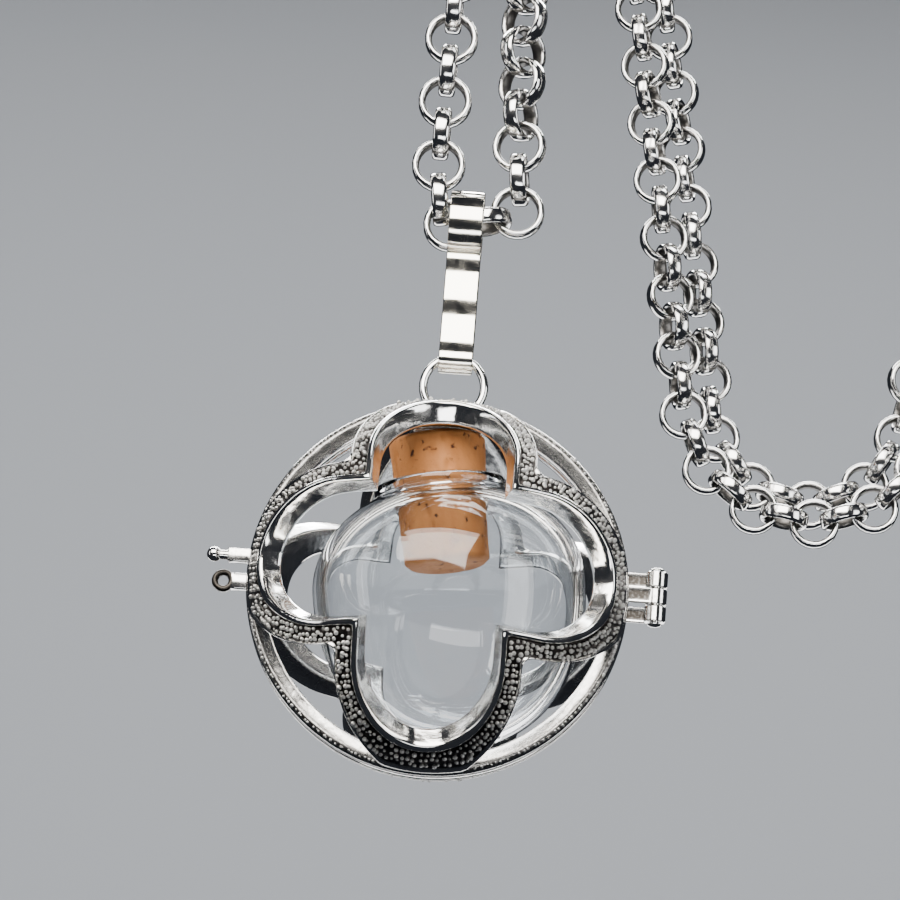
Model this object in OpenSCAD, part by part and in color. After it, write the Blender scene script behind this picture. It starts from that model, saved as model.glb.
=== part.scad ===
// Round cage locket with clover windows. It holds a corked glass globe bottle and hangs by a
// folded strip bail on a belcher chain, which is draped double as it hangs.

/* [Cage] */
// Outer radius of the cage and of its rim
cage_r = 13.85; // [13:0.05:15]
// Radius of the inner side of the tracery
cage_in_r = 12.1; // [11.8:0.05:12.4]
// Inner radius of the flat rim
rim_in_r = 12.45; // [12:0.05:12.8]
// Depth of each half's rim, front to back
rim_depth = 1.2; // [1:0.05:1.6]
// Half the gap between the two rims
seam_half = 0.3; // [0.2:0.05:0.5]

/* [Clover window] */
// Radius of each round lobe
lobe_r = 5.03; // [4.6:0.01:5.2]
// Distance from the cage's axis to a lobe's centre
lobe_at = 7.57; // [7.2:0.01:7.9]
// Width of the tracery round a lobe
band_w = 1.6; // [1.2:0.05:1.8]

/* [Hinge and snap] */
// Distance of the hinge's axis from the cage's axis
hinge_x = 15.8; // [15.4:0.05:16.4]
// Height of the hinge's middle
hinge_z = 0.6; // [0:0.1:1]
// Height of one knuckle
knuckle_h = 1.15; // [1:0.05:1.4]
// Outer radius of a knuckle
knuckle_r = 0.8; // [0.7:0.05:0.95]
// Radius of the hinge pin
pin_r = 0.3; // [0.2:0.01:0.4]
// Height of the snap tab on the front half
snap_z = 1.3; // [1.1:0.1:1.6]

/* [Top loop and bail] */
// Radius of the top loop's centre line
loop_r = 2.24; // [2:0.02:2.5]
// Radius of the top loop's wire
loop_wire = 0.31; // [0.25:0.01:0.35]
// Height of the top loop's middle above the cage's middle
loop_z = 15.4; // [15.2:0.05:15.6]
// Width of the bail's strip
bail_w = 2.5; // [2:0.1:2.6]
// Thickness of the bail's strip
bail_t = 0.4; // [0.3:0.05:0.45]
// Inner radius of the bail's upper eye
eye_r = 2.25; // [2.2:0.05:2.5]
// Inner radius of the bail's lower fold
fold_r = 0.65; // [0.6:0.05:0.75]
// Height of the eye's axis above the cage's middle
eye_z = 27.8; // [27:0.1:29]
// Height of the fold's axis above the cage's middle
fold_z = 17.46; // [17.3:0.02:17.5]

/* [Bottle and cork] */
// Widest radius of the globe bottle
globe_r = 9.9; // [9.4:0.1:10]
// Height of the bottle's shoulder above its widest ring
shoulder_h = 7.6; // [7.2:0.1:7.8]
// Depth of the bottle's lower half, if it were not cut flat
belly_h = 11.9; // [11:0.1:12]
// Radius of the flat foot
foot_r = 2.5; // [2:0.1:3]
// Wall of the bottle
glass_t = 0.9; // [0.7:0.05:1]
// Radius of the neck's bore
bore_r = 3.45; // [3.3:0.05:3.6]
// Outer radius of the lip
lip_r = 4.85; // [4.7:0.05:5]
// Radius of the cork's top
cork_top_r = 3.55; // [3.45:0.05:3.6]
// Radius of the cork's lower end
cork_low_r = 3.12; // [3:0.02:3.2]
// Lean of the bottle to the left
bottle_lean = 9; // [5:0.5:10]
// Shift of the bottle to the right
bottle_x = 0.8; // [0.5:0.1:0.9]

/* [Chain] */
// Outer radius of a link
link_r = 2; // [1.98:0.01:2]
// Thickness of a link's band, inside to outside
link_t = 0.5; // [0.4:0.02:0.52]
// Width of a link's band
link_w = 1.2; // [1:0.05:1.25]
// Wanted distance between the middles of two links
link_pitch = 2.5; // [2.45:0.01:2.52]
// Distance between the two holes of the clasp
clasp_len = 8; // [7:0.1:9]

/* [Drape] */
// Radius at which the chain's middle passes over the bar
drape_r = 15; // [15:0.5:16]
// Height of the bar's axis above the cage's middle
drape_z = 58; // [57:0.5:60]
// Lean of the rear strands from upright
rear_lean = 9.6; // [9:0.1:10]
// Radius of the turn at the foot of the rear strands
rear_turn_r = 9.1; // [9:0.1:10]
// Half the sideways distance between the two rear strands
rear_half = 1.3; // [1.3:0.05:1.6]
// How far the tight loop passes outside the wide one, over the bar and behind it
over_step = 2.2; // [2.2:0.05:2.4]
// Sideways place of the rear turn's middle
rear_x = 28.2; // [28:0.1:29]
// Height of the rear turn's middle above the cage's middle
rear_z = 24.8; // [24:0.1:26]
// Height of the lower front turn's middle above the cage's middle
front_z = 30; // [29:0.5:32]
// Radius of the lower front turn
front_turn_r = 5; // [5:0.1:5.5]
// Sideways place of the lower front turn's middle
front_x = 43.5; // [43:0.1:45]

/* [Hidden] */
$fn = 64;
// The seam lies this far in front of the top loop and the chain's front strands
seam_y = -0.4;
hang_y = drape_r;
// Rails across the tracery: [offset out from the window's edge, distance from the cage's middle]
OFFSET = 0;
REACH = 1;
groove = 0.3;
bevel = 0.13;
rails = [
    [band_w, cage_in_r],
    [band_w, cage_r - bevel],
    [band_w - 0.1, cage_r],
    [band_w - 0.25, cage_r - bevel],
    [0.74, cage_r - bevel],
    [0.66, cage_r - groove],
    [0.5, cage_r - groove],
    [0.42, cage_r],
    [0.1, cage_r],
    [0, cage_r - bevel],
    [0, cage_in_r]];
// How far from the axis the tracery's outer edge may reach, so that it runs into the rim
merge_r = 13.8;
straight_steps = 3;
round_steps = 14;
stations = 4 * (2 * straight_steps + round_steps);

// Share of its full width that the tracery keeps at an angle round a lobe
function width_share(angle) =
    min(1, (sqrt(pow(merge_r, 2) - pow(lobe_at * sin(angle), 2)) - lobe_at * cos(angle) - lobe_r) / band_w);
function between(a, b, share) = a + (b - a) * share;

// Plan of one lobe at an offset: from its first cusp, round, and up to the next lobe's first cusp
function lobe_plan(off) = concat(
    [for (k = [0 : straight_steps - 1])
        [between(lobe_r + off, lobe_at, k / straight_steps), -(lobe_r + off)]],
    [for (k = [0 : round_steps])
        let (angle = -90 + 180 * k / round_steps, r = lobe_r + off * width_share(angle))
        [lobe_at + r * cos(angle), r * sin(angle)]],
    [for (k = [1 : straight_steps - 1])
        [between(lobe_at, lobe_r + off, k / straight_steps), lobe_r + off]]);
function turned(p, angle) = [p[0] * cos(angle) - p[1] * sin(angle), p[0] * sin(angle) + p[1] * cos(angle)];
function clover_plan(off) = [for (lobe = [0 : 3]) for (p = lobe_plan(off)) turned(p, 90 * lobe)];
function on_dome(p, reach) = [p[0], -sqrt(pow(cage_r, 2) - p[0] * p[0] - p[1] * p[1]), p[1]] * reach / cage_r;

module tracery() {
    n = len(rails);
    plans = [for (rail = rails) clover_plan(rail[OFFSET])];
    points = [for (j = [0 : stations - 1]) for (k = [0 : n - 1]) on_dome(plans[k][j], rails[k][REACH])];
    faces = [for (j = [0 : stations - 1]) for (k = [0 : n - 1])
        let (a = j * n + k, b = j * n + (k + 1) % n,
             c = ((j + 1) % stations) * n + (k + 1) % n, d = ((j + 1) % stations) * n + k)
        each [[a, b, c], [a, c, d]]];
    polyhedron(points, faces, convexity = 8);
}

module rim() {
    chamfer = 0.12;
    edge = seam_half + rim_depth;
    rotate([90, 0, 0])
        rotate_extrude($fn = 180)
            polygon([[rim_in_r, seam_half], [cage_r - chamfer, seam_half], [cage_r, seam_half + chamfer],
                     [cage_r, edge - 2 * chamfer], [cage_r - chamfer, edge], [rim_in_r, edge]]);
}

// One half, with its dome towards the viewer
module half_cage() {
    rim();
    tracery();
}

knuckle_gap = 0.12;
knuckle_step = knuckle_h + knuckle_gap;
// Radial play of the pin in its knuckles
pin_play = 0.06;
arm_root = 13.2;

// Knuckle at a step up or down from the hinge's middle; its arm lies on the side given by side
module knuckle(step, side) {
    arm_t = knuckle_r - seam_half;
    translate([0, 0, hinge_z + step * knuckle_step]) {
        translate([hinge_x, 0, 0]) cylinder(h = knuckle_h, r = knuckle_r, center = true);
        translate([arm_root, side > 0 ? seam_half : -knuckle_r, -knuckle_h / 2])
            cube([hinge_x - arm_root, arm_t, knuckle_h]);
    }
}

module pin_bore() {
    translate([hinge_x, 0, hinge_z])
        cylinder(h = 6 * knuckle_h, r = pin_r + pin_play, center = true);
}

// Flat tab, neck and ball at the left of the front half
module snap_tab() {
    tab_h = 1;
    tab_t = 0.8;
    ball_r = 0.55;
    tab_end = 15.2;
    ball_at = 16.3;
    mid = -(seam_half + 0.05 + tab_t / 2);
    translate([-tab_end, mid - tab_t / 2, snap_z - tab_h / 2]) cube([tab_end - arm_root, tab_t, tab_h]);
    translate([-ball_at, mid, snap_z]) rotate([0, 90, 0]) cylinder(h = ball_at - tab_end + 0.3, r = 0.34);
    translate([-ball_at, mid, snap_z]) sphere(r = ball_r);
}

// Lug with a round eye at the left of the back half
module snap_lug() {
    lug_r = 0.85;
    lug_t = 0.8;
    lug_at = 15.6;
    lug_z = -0.3;
    translate([-lug_at, seam_half + 0.05, lug_z])
        difference() {
            union() {
                rotate([-90, 0, 0]) cylinder(h = lug_t, r = lug_r);
                translate([0, 0, -0.6]) cube([lug_at - arm_root, lug_t, 1.2]);
            }
            translate([0, -1, 0]) rotate([-90, 0, 0]) cylinder(h = 3, r = 0.38);
        }
}

module top_loop() {
    translate([0, -seam_y, loop_z])
        rotate([90, 0, 0])
            rotate_extrude($fn = 96) translate([loop_r, 0]) circle(r = loop_wire, $fn = 32);
}

module front_shell() {
    color("silver")
        locket_place()
            difference() {
                union() {
                    half_cage();
                    knuckle(0, -1);
                    snap_tab();
                }
                pin_bore();
            }
}

module back_shell() {
    color("silver")
        locket_place()
            difference() {
                union() {
                    mirror([0, 1, 0]) half_cage();
                    knuckle(1, 1);
                    knuckle(-1, 1);
                    snap_lug();
                    top_loop();
                }
                pin_bore();
            }
}

module hinge_pin() {
    head_h = 0.25;
    length = 2 * knuckle_step + knuckle_h + 2 * knuckle_gap;
    color("gainsboro")
        locket_place()
            translate([hinge_x, 0, hinge_z]) {
                cylinder(h = length, r = pin_r, center = true);
                for (side = [-1, 1])
                    translate([0, 0, side * (length + head_h) / 2])
                        cylinder(h = head_h, r = 1.8 * pin_r, center = true);
            }
}

profile_steps = 12;
// Ratio that sets how much squarer than an ellipse the lower half is
belly_power = 2.15;
neck_low = 6.7;
lip_top = 7.6;

// Half outline of the bottle at a distance inside its outer surface, from the foot up to the neck
function globe_outline(inset, neck_r, foot) = concat(
    [for (k = [0 : profile_steps])
        let (share = k / profile_steps,
             foot_angle = acos(foot / (globe_r - inset)),
             angle = foot_angle * (share - 1),
             r = (globe_r - inset) * cos(angle))
        [r, -(belly_h - inset) * pow(1 - pow(r / (globe_r - inset), belly_power), 1 / belly_power)]],
    [for (k = [1 : profile_steps])
        let (neck_angle = acos(neck_r / (globe_r - inset)),
             angle = neck_angle * k / profile_steps)
        [(globe_r - inset) * cos(angle), (shoulder_h - inset) * sin(angle)]]);

module bottle() {
    outer = globe_outline(0, lip_r - 0.5, foot_r);
    inner = globe_outline(glass_t, bore_r, foot_r);
    color([0.85, 0.9, 0.95, 0.4])
        bottle_place()
            difference() {
                rotate_extrude($fn = 128)
                    polygon(concat([[0, outer[0][1]]], outer,
                        [[lip_r - 0.1, neck_low + 0.1], [lip_r, neck_low + 0.3], [lip_r, lip_top - 0.15],
                         [lip_r - 0.15, lip_top], [0, lip_top]]));
                rotate_extrude($fn = 128)
                    polygon(concat([[0, inner[0][1]]], inner, [[bore_r, lip_top + 1], [0, lip_top + 1]]));
            }
}

module cork() {
    cork_top = 11;
    cork_low = 1.6;
    chamfer = 0.2;
    color("peru")
        bottle_place()
            rotate_extrude($fn = 96)
                polygon([[0, cork_low], [cork_low_r - chamfer, cork_low], [cork_low_r, cork_low + chamfer],
                         [cork_top_r, cork_top - chamfer], [cork_top_r - chamfer, cork_top], [0, cork_top]]);
}

// Folded strip: a round eye on the chain, two close legs and a round fold in the top loop
module bail() {
    color("ivory")
        hung_place()
            rotate([90, 0, 90])
                linear_extrude(height = bail_w, center = true)
                    difference() {
                        bail_outline(bail_t);
                        bail_outline(0);
                    }
}

module bail_outline(grown) {
    translate([0, eye_z]) circle(r = eye_r + grown, $fn = 96);
    translate([0, fold_z]) circle(r = fold_r + grown, $fn = 64);
    translate([-fold_r - grown, fold_z]) square([2 * (fold_r + grown), eye_z - fold_z]);
}

module link_ring() {
    in_r = link_r - link_t;
    half = link_w / 2;
    soft = 0.1;
    rotate_extrude($fn = 48)
        polygon([[in_r, soft - half], [in_r, half - soft], [in_r + soft, half], [link_r - 1.4 * soft, half],
                 [link_r, half / 2], [link_r, -half / 2], [link_r - 1.4 * soft, -half], [in_r + soft, -half]]);
}

// The chain's route past the links at the eye is a row of pieces. Each piece is
// [kind, length, kind's own values], and every x and z is measured from the cage's middle.
LINE = 0;
OVER = 1;
TURN = 2;
FRONT = [0, -1, 0];
REAR = [0, 1, 0];
tight_drape_r = drape_r + over_step;
wide_y = 2 * drape_r;
tight_y = 2 * tight_drape_r;
function straight(a, b, face) = [LINE, norm(b - a), a, b, face];
function over_bar(x0, x1, r, to_rear) = [OVER, norm([PI * r, x1 - x0]), x0, x1, r, to_rear];
function turn(x, z, y, r, from, to, face) = [TURN, abs(to - from) * PI / 180 * r, [x, y, z], r, from, to, face];

function rear_low_x(r) = rear_x - r * cos(rear_lean);
function rear_low_z(r) = rear_z - r * sin(rear_lean);
function rear_top_x(r) = rear_low_x(r) - (drape_z - rear_low_z(r)) * tan(rear_lean);
function opposite(x) = 2 * rear_x - x;
wide_r = rear_turn_r + rear_half;
tight_r = rear_turn_r - rear_half;

// Links round the bail's eye: [x, height above the eye's axis, turn from level, edge on, twist]
eye_links = [
    [-1.19, 0, 0, 0, 0],
    [-2.13, 1.98, 98, 1, 0],
    [1.37, 0.46, 13, 1, 0],
    [3.73, 1.37, 30, 0, 0],
    [3.68, 3.94, 95, 1, -6]];
left_start = [-2.4, 0, eye_z + 4.62];
right_end = [3.5, 0, eye_z + 6.5];
left_top = [-1.9, 0, drape_z];
right_top = [2.7, 0, drape_z];
far_out_x = front_x + front_turn_r;
far_in_x = front_x - front_turn_r;

route = [
    straight(left_start, left_top, FRONT),
    over_bar(left_top[0], rear_top_x(wide_r), drape_r, true),
    straight([rear_top_x(wide_r), wide_y, drape_z], [rear_low_x(wide_r), wide_y, rear_low_z(wide_r)], REAR),
    turn(rear_x, rear_z, wide_y, wide_r, 180 + rear_lean, 360 - rear_lean, REAR),
    straight([opposite(rear_low_x(wide_r)), wide_y, rear_low_z(wide_r)],
             [opposite(rear_top_x(wide_r)), wide_y, drape_z], REAR),
    over_bar(opposite(rear_top_x(wide_r)), far_out_x, drape_r, false),
    straight([far_out_x, 0, drape_z], [far_out_x, 0, front_z], FRONT),
    turn(front_x, front_z, 0, front_turn_r, 360, 180, FRONT),
    straight([far_in_x, 0, front_z], [far_in_x, 0, drape_z], FRONT),
    over_bar(far_in_x, opposite(rear_top_x(tight_r)), tight_drape_r, true),
    straight([opposite(rear_top_x(tight_r)), tight_y, drape_z],
             [opposite(rear_low_x(tight_r)), tight_y, rear_low_z(tight_r)], REAR),
    turn(rear_x, rear_z, tight_y, tight_r, 360 - rear_lean, 180 + rear_lean, REAR),
    straight([rear_low_x(tight_r), tight_y, rear_low_z(tight_r)], [rear_top_x(tight_r), tight_y, drape_z], REAR),
    over_bar(rear_top_x(tight_r), right_top[0], tight_drape_r, false),
    straight(right_top, right_end, FRONT)];
CLASP_PIECE = 6;
TWIST_IN_PIECE = 13;

function total(values, last) = last < 0 ? 0 : values[last] + total(values, last - 1);
lengths = [for (piece = route) piece[1]];
starts = [for (k = [0 : len(route)]) total(lengths, k - 1)];
route_len = starts[len(route)];
mid_r = link_r - link_t / 2;
clasp_span = clasp_len + 2 * mid_r;
steps = 2 * round((route_len - clasp_span) / (2 * link_pitch));
pitch = (route_len - clasp_span) / steps;
// The last link before the clasp is one that stands edge on
before_clasp = 2 * ceil((starts[CLASP_PIECE] + 3) / pitch / 2) + 1;

function along(i) = i <= before_clasp ? i * pitch : (i - 1) * pitch + clasp_span;
function edge_on(i) = i <= before_clasp ? i % 2 : (i + 1) % 2;
function piece_at(s) = max([for (k = [0 : len(route) - 1]) if (starts[k] <= s + 0.001) k]);

function point_in(piece, s) =
    piece[0] == LINE ? between(piece[2], piece[3], s / piece[1]) :
    piece[0] == OVER ? let (r = piece[4], angle = 180 * (piece[5] ? s / piece[1] : 1 - s / piece[1]))
        [between(piece[2], piece[3], s / piece[1]), r * (1 - cos(angle)), drape_z + r * sin(angle)] :
    let (angle = piece[4] + sign(piece[5] - piece[4]) * s / piece[3] * 180 / PI)
        piece[2] + piece[3] * [cos(angle), 0, sin(angle)];
function face_in(piece, s) =
    piece[0] == LINE ? piece[4] :
    piece[0] == OVER ? let (angle = 180 * (piece[5] ? s / piece[1] : 1 - s / piece[1])) [0, -cos(angle), sin(angle)] :
    piece[6];
function point_on(s) = let (k = piece_at(s)) point_in(route[k], s - starts[k]);
function face_on(s) = let (k = piece_at(s)) face_in(route[k], s - starts[k]);

// Slow twist of the strands about their own line, none where they turn
sway = 20;
front_twist = 45;
function twist_at(s) =
    let (k = piece_at(s), share = (s - starts[k]) / route[k][1], left = route_len - s)
    k == TWIST_IN_PIECE ? front_twist * share :
    k == TWIST_IN_PIECE + 1 ? min(front_twist, 12 + 6 * left) :
    route[k][0] == LINE && route[k][4] == REAR ? sway * sin(360 * share) : 0;

// An edge-on link in a turn lies straight between its two neighbours
function link_point(i) =
    route[piece_at(along(i))][0] == TURN && edge_on(i) == 1 ? (point_on(along(i - 1)) + point_on(along(i + 1))) / 2 :
    point_on(along(i));
function ahead(i) =
    i == before_clasp || i == before_clasp + 1 ? [0, 0, -1] :
    point_on(along(min(steps + 1, i + 1))) - point_on(along(max(0, i - 1)));

// Places a ring with its own x along the chain and its axis turned from face by twist
module ring_at(point, dir, face, twist) {
    t = dir / norm(dir);
    flat = face - t * (face * t);
    n = flat / norm(flat);
    axis = n * cos(twist) + cross(t, n) * sin(twist);
    azimuth = atan2(axis[1], axis[0]);
    polar = acos(max(-1, min(1, axis[2])));
    translate(point)
        rotate([0, polar, azimuth])
            link_ring();
}

module chain() {
    color("lightgray")
        hung_place() {
            for (e = eye_links)
                ring_at([e[0], 0, eye_z + e[1]], [cos(e[2]), 0, sin(e[2])], FRONT, e[4] + 90 * e[3]);
            for (i = [0 : steps + 1])
                ring_at(link_point(i), ahead(i), face_on(along(i)), twist_at(along(i)) + 90 * edge_on(i));
        }
}

// Closed hook with an eye at its other end, one plain piece
module clasp() {
    thick = 1.2;
    eye_hole = 0.85;
    eye_out = 1.5;
    hook_hole = 1.15;
    hook_out = 2.05;
    stem = 1.9;
    top = point_on(along(before_clasp))[2] - mid_r;
    color("lightgray")
        hung_place()
            translate([far_out_x, 0, top])
                rotate([90, 0, 0])
                    linear_extrude(height = thick, center = true)
                        difference() {
                            union() {
                                circle(r = eye_out);
                                translate([-stem / 2, -clasp_len]) square([stem, clasp_len]);
                                translate([0, -clasp_len]) circle(r = hook_out);
                            }
                            circle(r = eye_hole);
                            translate([0, -clasp_len]) circle(r = hook_hole);
                        }
}

module hung_place() {
    translate([0, -hang_y, -drape_z]) children();
}

module locket_place() {
    hung_place() translate([0, seam_y, 0]) children();
}

module bottle_place() {
    bottle_z = 0.3;
    locket_place() translate([bottle_x, 0, bottle_z]) rotate([0, -bottle_lean, 0]) children();
}

front_shell();
back_shell();
hinge_pin();
bottle();
cork();
bail();
chain();
clasp();
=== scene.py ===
"""Dresses the clover cage locket and its chain for their portrait.

Sizes are in millimetres in the locket's own coordinates: x to the viewer's right, y away from
the viewer and z up, from the middle of the cage with its seam at y = 0. Meshes are written in
metres in the necklace's frame, whose origin is the axis of the bar that the chain hangs over.
"""

import logging
import math
from dataclasses import dataclass, field
from enum import Enum
from typing import Callable

import bmesh
import bpy
import numpy as np
from mathutils import Matrix, Vector


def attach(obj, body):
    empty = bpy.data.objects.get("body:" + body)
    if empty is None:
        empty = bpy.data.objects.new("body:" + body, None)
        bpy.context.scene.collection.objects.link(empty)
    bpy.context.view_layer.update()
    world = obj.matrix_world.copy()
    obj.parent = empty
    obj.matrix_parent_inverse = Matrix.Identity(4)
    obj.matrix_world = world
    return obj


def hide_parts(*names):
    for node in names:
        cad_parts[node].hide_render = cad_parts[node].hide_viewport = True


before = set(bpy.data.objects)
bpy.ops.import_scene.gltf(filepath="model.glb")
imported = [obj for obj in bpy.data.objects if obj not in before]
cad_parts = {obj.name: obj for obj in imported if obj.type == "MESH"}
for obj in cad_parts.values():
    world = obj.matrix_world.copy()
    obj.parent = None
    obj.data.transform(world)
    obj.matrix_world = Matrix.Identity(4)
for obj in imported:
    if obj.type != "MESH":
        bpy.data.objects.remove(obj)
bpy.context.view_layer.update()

LOG = logging.getLogger("locket")
Array = np.ndarray
Triple = tuple[float, float, float]
Colour = tuple[float, float, float, float]
Tree = bpy.types.NodeTree
Socket = bpy.types.NodeSocket
Material = bpy.types.Material

MM = 0.001
FULL_TURN = 2.0 * math.pi
# The bar's axis above the cage's middle, and the radius of the chain's middle over it
DRAPE_Z = 58.0
DRAPE_R = 15.0
# The seam between the halves lies this far in front of the top loop and the front strands
SEAM_Y = -0.4


class Side(Enum):
    """The two halves of the cage, by the direction in which the dome faces."""

    FRONT = -1
    BACK = 1


class Body(Enum):
    """The bodies that pieces ride on."""

    NECKLACE = "necklace"
    BAIL = "bail"
    LOCKET = "locket"
    DOOR = "door"


class Course(Enum):
    """What a stretch of the chain does."""

    LINE = "line"
    OVER = "over the bar"
    TURN = "turn"


# Surfaces


@dataclass
class Surface:
    """Points and faces of one or more closed shells, gathered before they become a mesh.

    Attributes:
        points: Rows of x, y, z in millimetres.
        quads: Rows of four point numbers.
        recess_and_shade: For each point, how far it is darkened, from 0 to 1, as patina in grooves and as
            painted shade on the snap's eye; below 0, how frosted it is.
    """

    points: Array
    quads: Array
    recess_and_shade: Array

    @staticmethod
    def join(parts: list["Surface"]) -> "Surface":
        """Puts several surfaces into one.

        Args:
            parts: The surfaces.

        Returns:
            One surface that holds them all.
        """
        counts = np.cumsum([0] + [len(part.points) for part in parts[:-1]])
        return Surface(
            np.concatenate([part.points for part in parts]),
            np.concatenate([part.quads + start for part, start in zip(parts, counts)]),
            np.concatenate([part.recess_and_shade for part in parts]),
        )

    def moved(self, offset: Triple) -> "Surface":
        """Returns this surface moved by an offset in millimetres."""
        return Surface(self.points + np.array(offset), self.quads, self.recess_and_shade)

    def mirrored(self) -> "Surface":
        """Returns this surface mirrored in the seam."""
        return Surface(self.points * np.array([1.0, -1.0, 1.0]), self.quads, self.recess_and_shade)

    def worn(self, least: float) -> "Surface":
        """Returns this surface with a recess of at least some depth everywhere, which mottles its shine."""
        return Surface(self.points, self.quads, np.maximum(self.recess_and_shade, least))


def columns(*parts: Array | float) -> Array:
    """Stretches coordinates to one shape and stacks them in a last axis."""
    return np.stack(np.broadcast_arrays(*parts), axis=-1)


def polar(radius: Array | float, angle: Array) -> Array:
    """Gives the points r cos a, r sin a."""
    return columns(radius * np.cos(angle), radius * np.sin(angle))


def sphere(tilt: Array, turn: Array) -> Array:
    """Gives the directions sin t cos a, sin t sin a, cos t of a tilt t and a turn a."""
    return columns(np.sin(tilt) * np.cos(turn), np.sin(tilt) * np.sin(turn), np.cos(tilt))


def once_round(steps: int, start: float = 0.0) -> Array:
    """Gives evenly spaced angles once round, the first one at a share of a step."""
    return (np.arange(steps) + start) / steps * FULL_TURN


def unit(rows: Array) -> Array:
    """Scales rows of directions to length 1."""
    return rows / np.linalg.norm(rows, axis=1)[:, None]


def grid_quads(rows: int, cols: int, ring_rows: bool, ring_cols: bool) -> Array:
    """Numbers the faces of a grid of points stored row by row.

    Args:
        rows: Number of rows.
        cols: Points in a row.
        ring_rows: Whether the last row joins the first.
        ring_cols: Whether a row's last point joins its first.

    Returns:
        Rows of four point numbers.
    """
    i, j = np.meshgrid(
        np.arange(rows if ring_rows else rows - 1),
        np.arange(cols if ring_cols else cols - 1),
        indexing="ij",
    )
    below, right = (i + 1) % rows, (j + 1) % cols
    return columns(i * cols + j, i * cols + right, below * cols + right, below * cols + j).reshape(-1, 4)


def grid_surface(points: Array, ring_rows: bool, ring_cols: bool, recess_and_shade: Array | float = 0.0) -> Surface:
    """Makes a surface of a grid of points of shape rows, cols, 3.

    Args:
        points: The grid.
        ring_rows: Whether the last row joins the first.
        ring_cols: Whether a row's last point joins its first.
        recess_and_shade: The recess of the grid's points.

    Returns:
        The surface.
    """
    rows, cols = points.shape[:2]
    marks = np.broadcast_to(recess_and_shade, (rows, cols)).reshape(-1)
    return Surface(points.reshape(-1, 3), grid_quads(rows, cols, ring_rows, ring_cols), marks)


def copies(points: Array, quads: Array, recess_and_shade: Array | float) -> Surface:
    """Makes one surface of many shells that share their faces' numbering.

    Args:
        points: Points of each shell, of shape shells, points, 3.
        quads: Faces of one shell.
        recess_and_shade: The recess of one shell's points.

    Returns:
        All the shells as one surface.
    """
    count, size = points.shape[:2]
    faces = quads[None] + (np.arange(count) * size)[:, None, None]
    marks = np.broadcast_to(recess_and_shade, (count, size)).reshape(-1)
    return Surface(points.reshape(-1, 3), faces.reshape(-1, 4), marks)


def eased(outline: Array, rounds: int, ring: bool = True) -> Array:
    """Rounds an outline's corners by cutting each one at a quarter of its two sides, again and again.

    Args:
        outline: Rows of values, such as x and y.
        rounds: How many times the corners are cut.
        ring: Whether the outline closes on itself.

    Returns:
        The rounded outline, with twice the rows for each round.
    """
    near, far = 0.75, 0.25
    for _ in range(rounds):
        after = np.roll(outline, -1, axis=0) if ring else outline[1:]
        here = outline if ring else outline[:-1]
        cut = np.stack([near * here + far * after, far * here + near * after], axis=1)
        cut = cut.reshape(-1, outline.shape[1])
        outline = cut if ring else np.concatenate([outline[:1], cut, outline[-1:]])
    return outline


def lathe(outline: Array, steps: int, axis: str, ring: bool, recess_and_shade: Array | float = 0.0) -> Surface:
    """Turns an outline about an axis: a point is (r cos t, r sin t) across it and h along it.

    Args:
        outline: Rows of radius r and height h.
        steps: Number of steps round the axis.
        axis: The axis to turn about: x, y or z.
        ring: Whether the outline closes on itself, as a ring's section does.
        recess_and_shade: The recess of each row of the outline.

    Returns:
        The turned surface.
    """
    turn = once_round(steps)[:, None]
    across, up = outline[None, :, 0] * np.cos(turn), outline[None, :, 0] * np.sin(turn)
    along = outline[None, :, 1]
    order = {"x": (along, across, up), "y": (across, along, up), "z": (across, up, along)}[axis]
    return grid_surface(columns(*order), True, ring, recess_and_shade)


def soft_box(low: Triple, high: Triple, edge: float) -> Surface:
    """Makes a box with round edges: a small sphere pulled apart into its eight parts.

    A point is the middle, plus the edge's radius times a direction n, plus the sign of n times
    what is left of the half size. Directions run over latitude and longitude.

    Args:
        low: Lowest corner.
        high: Highest corner.
        edge: Radius of the edges.

    Returns:
        The box.
    """
    latitudes, longitudes = 12, 24
    tilt = ((np.arange(latitudes) + 0.5) / latitudes * math.pi)[:, None]
    normal = sphere(tilt, once_round(longitudes, 0.5)[None, :])
    middle, half = (np.array(low) + np.array(high)) / 2, (np.array(high) - np.array(low)) / 2
    points = middle + normal * edge + np.sign(normal) * (half - edge)
    ends = points[[0, -1]]
    caps = np.broadcast_to(ends.mean(axis=1, keepdims=True), ends.shape)
    return grid_surface(np.concatenate([caps[:1], points, caps[1:]]), False, True)


def sunk_plate(low: Triple, high: Triple, edge: float, border: float, depth: float) -> Surface:
    """Makes a plate with round edges whose front, towards -y, has a sunk and darkened panel.

    Loops of points run round the y axis. A loop's point is the middle, plus a direction n in x and z
    times what the inset leaves of the edge's radius, plus the sign of n times the half size less the
    larger of inset and edge.

    Args:
        low: Lowest corner.
        high: Highest corner.
        edge: Radius of the upright edges.
        border: Width of the bright border round the panel.
        depth: Depth of the panel.

    Returns:
        The plate.
    """
    middle, half = (np.array(low) + np.array(high)) / 2, (np.array(high) - np.array(low)) / 2
    least, front, back = min(half[0], half[2]), low[1], high[1]
    slope, longitudes = 0.05, 24
    # Columns: inset from the outline, y, recess
    rows = np.array([[least, back, 0.2], [0.0, back, 0.1], [0.0, front, 0.1], [border, front, 0.1],
                     [border + slope, front + depth, 0.8], [least, front + depth, 0.8]])
    rows = eased(rows, 2, ring=False)
    inset = rows[:, :1]
    spread, kept = np.maximum(edge - inset, 0.0), np.maximum(inset, edge)
    turn = once_round(longitudes, 0.5)[None, :]
    x = middle[0] + np.cos(turn) * spread + np.sign(np.cos(turn)) * (half[0] - kept)
    z = middle[2] + np.sin(turn) * spread + np.sign(np.sin(turn)) * (half[2] - kept)
    return grid_surface(columns(x, rows[:, 1:2], z), False, True, rows[:, 2:])


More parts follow.
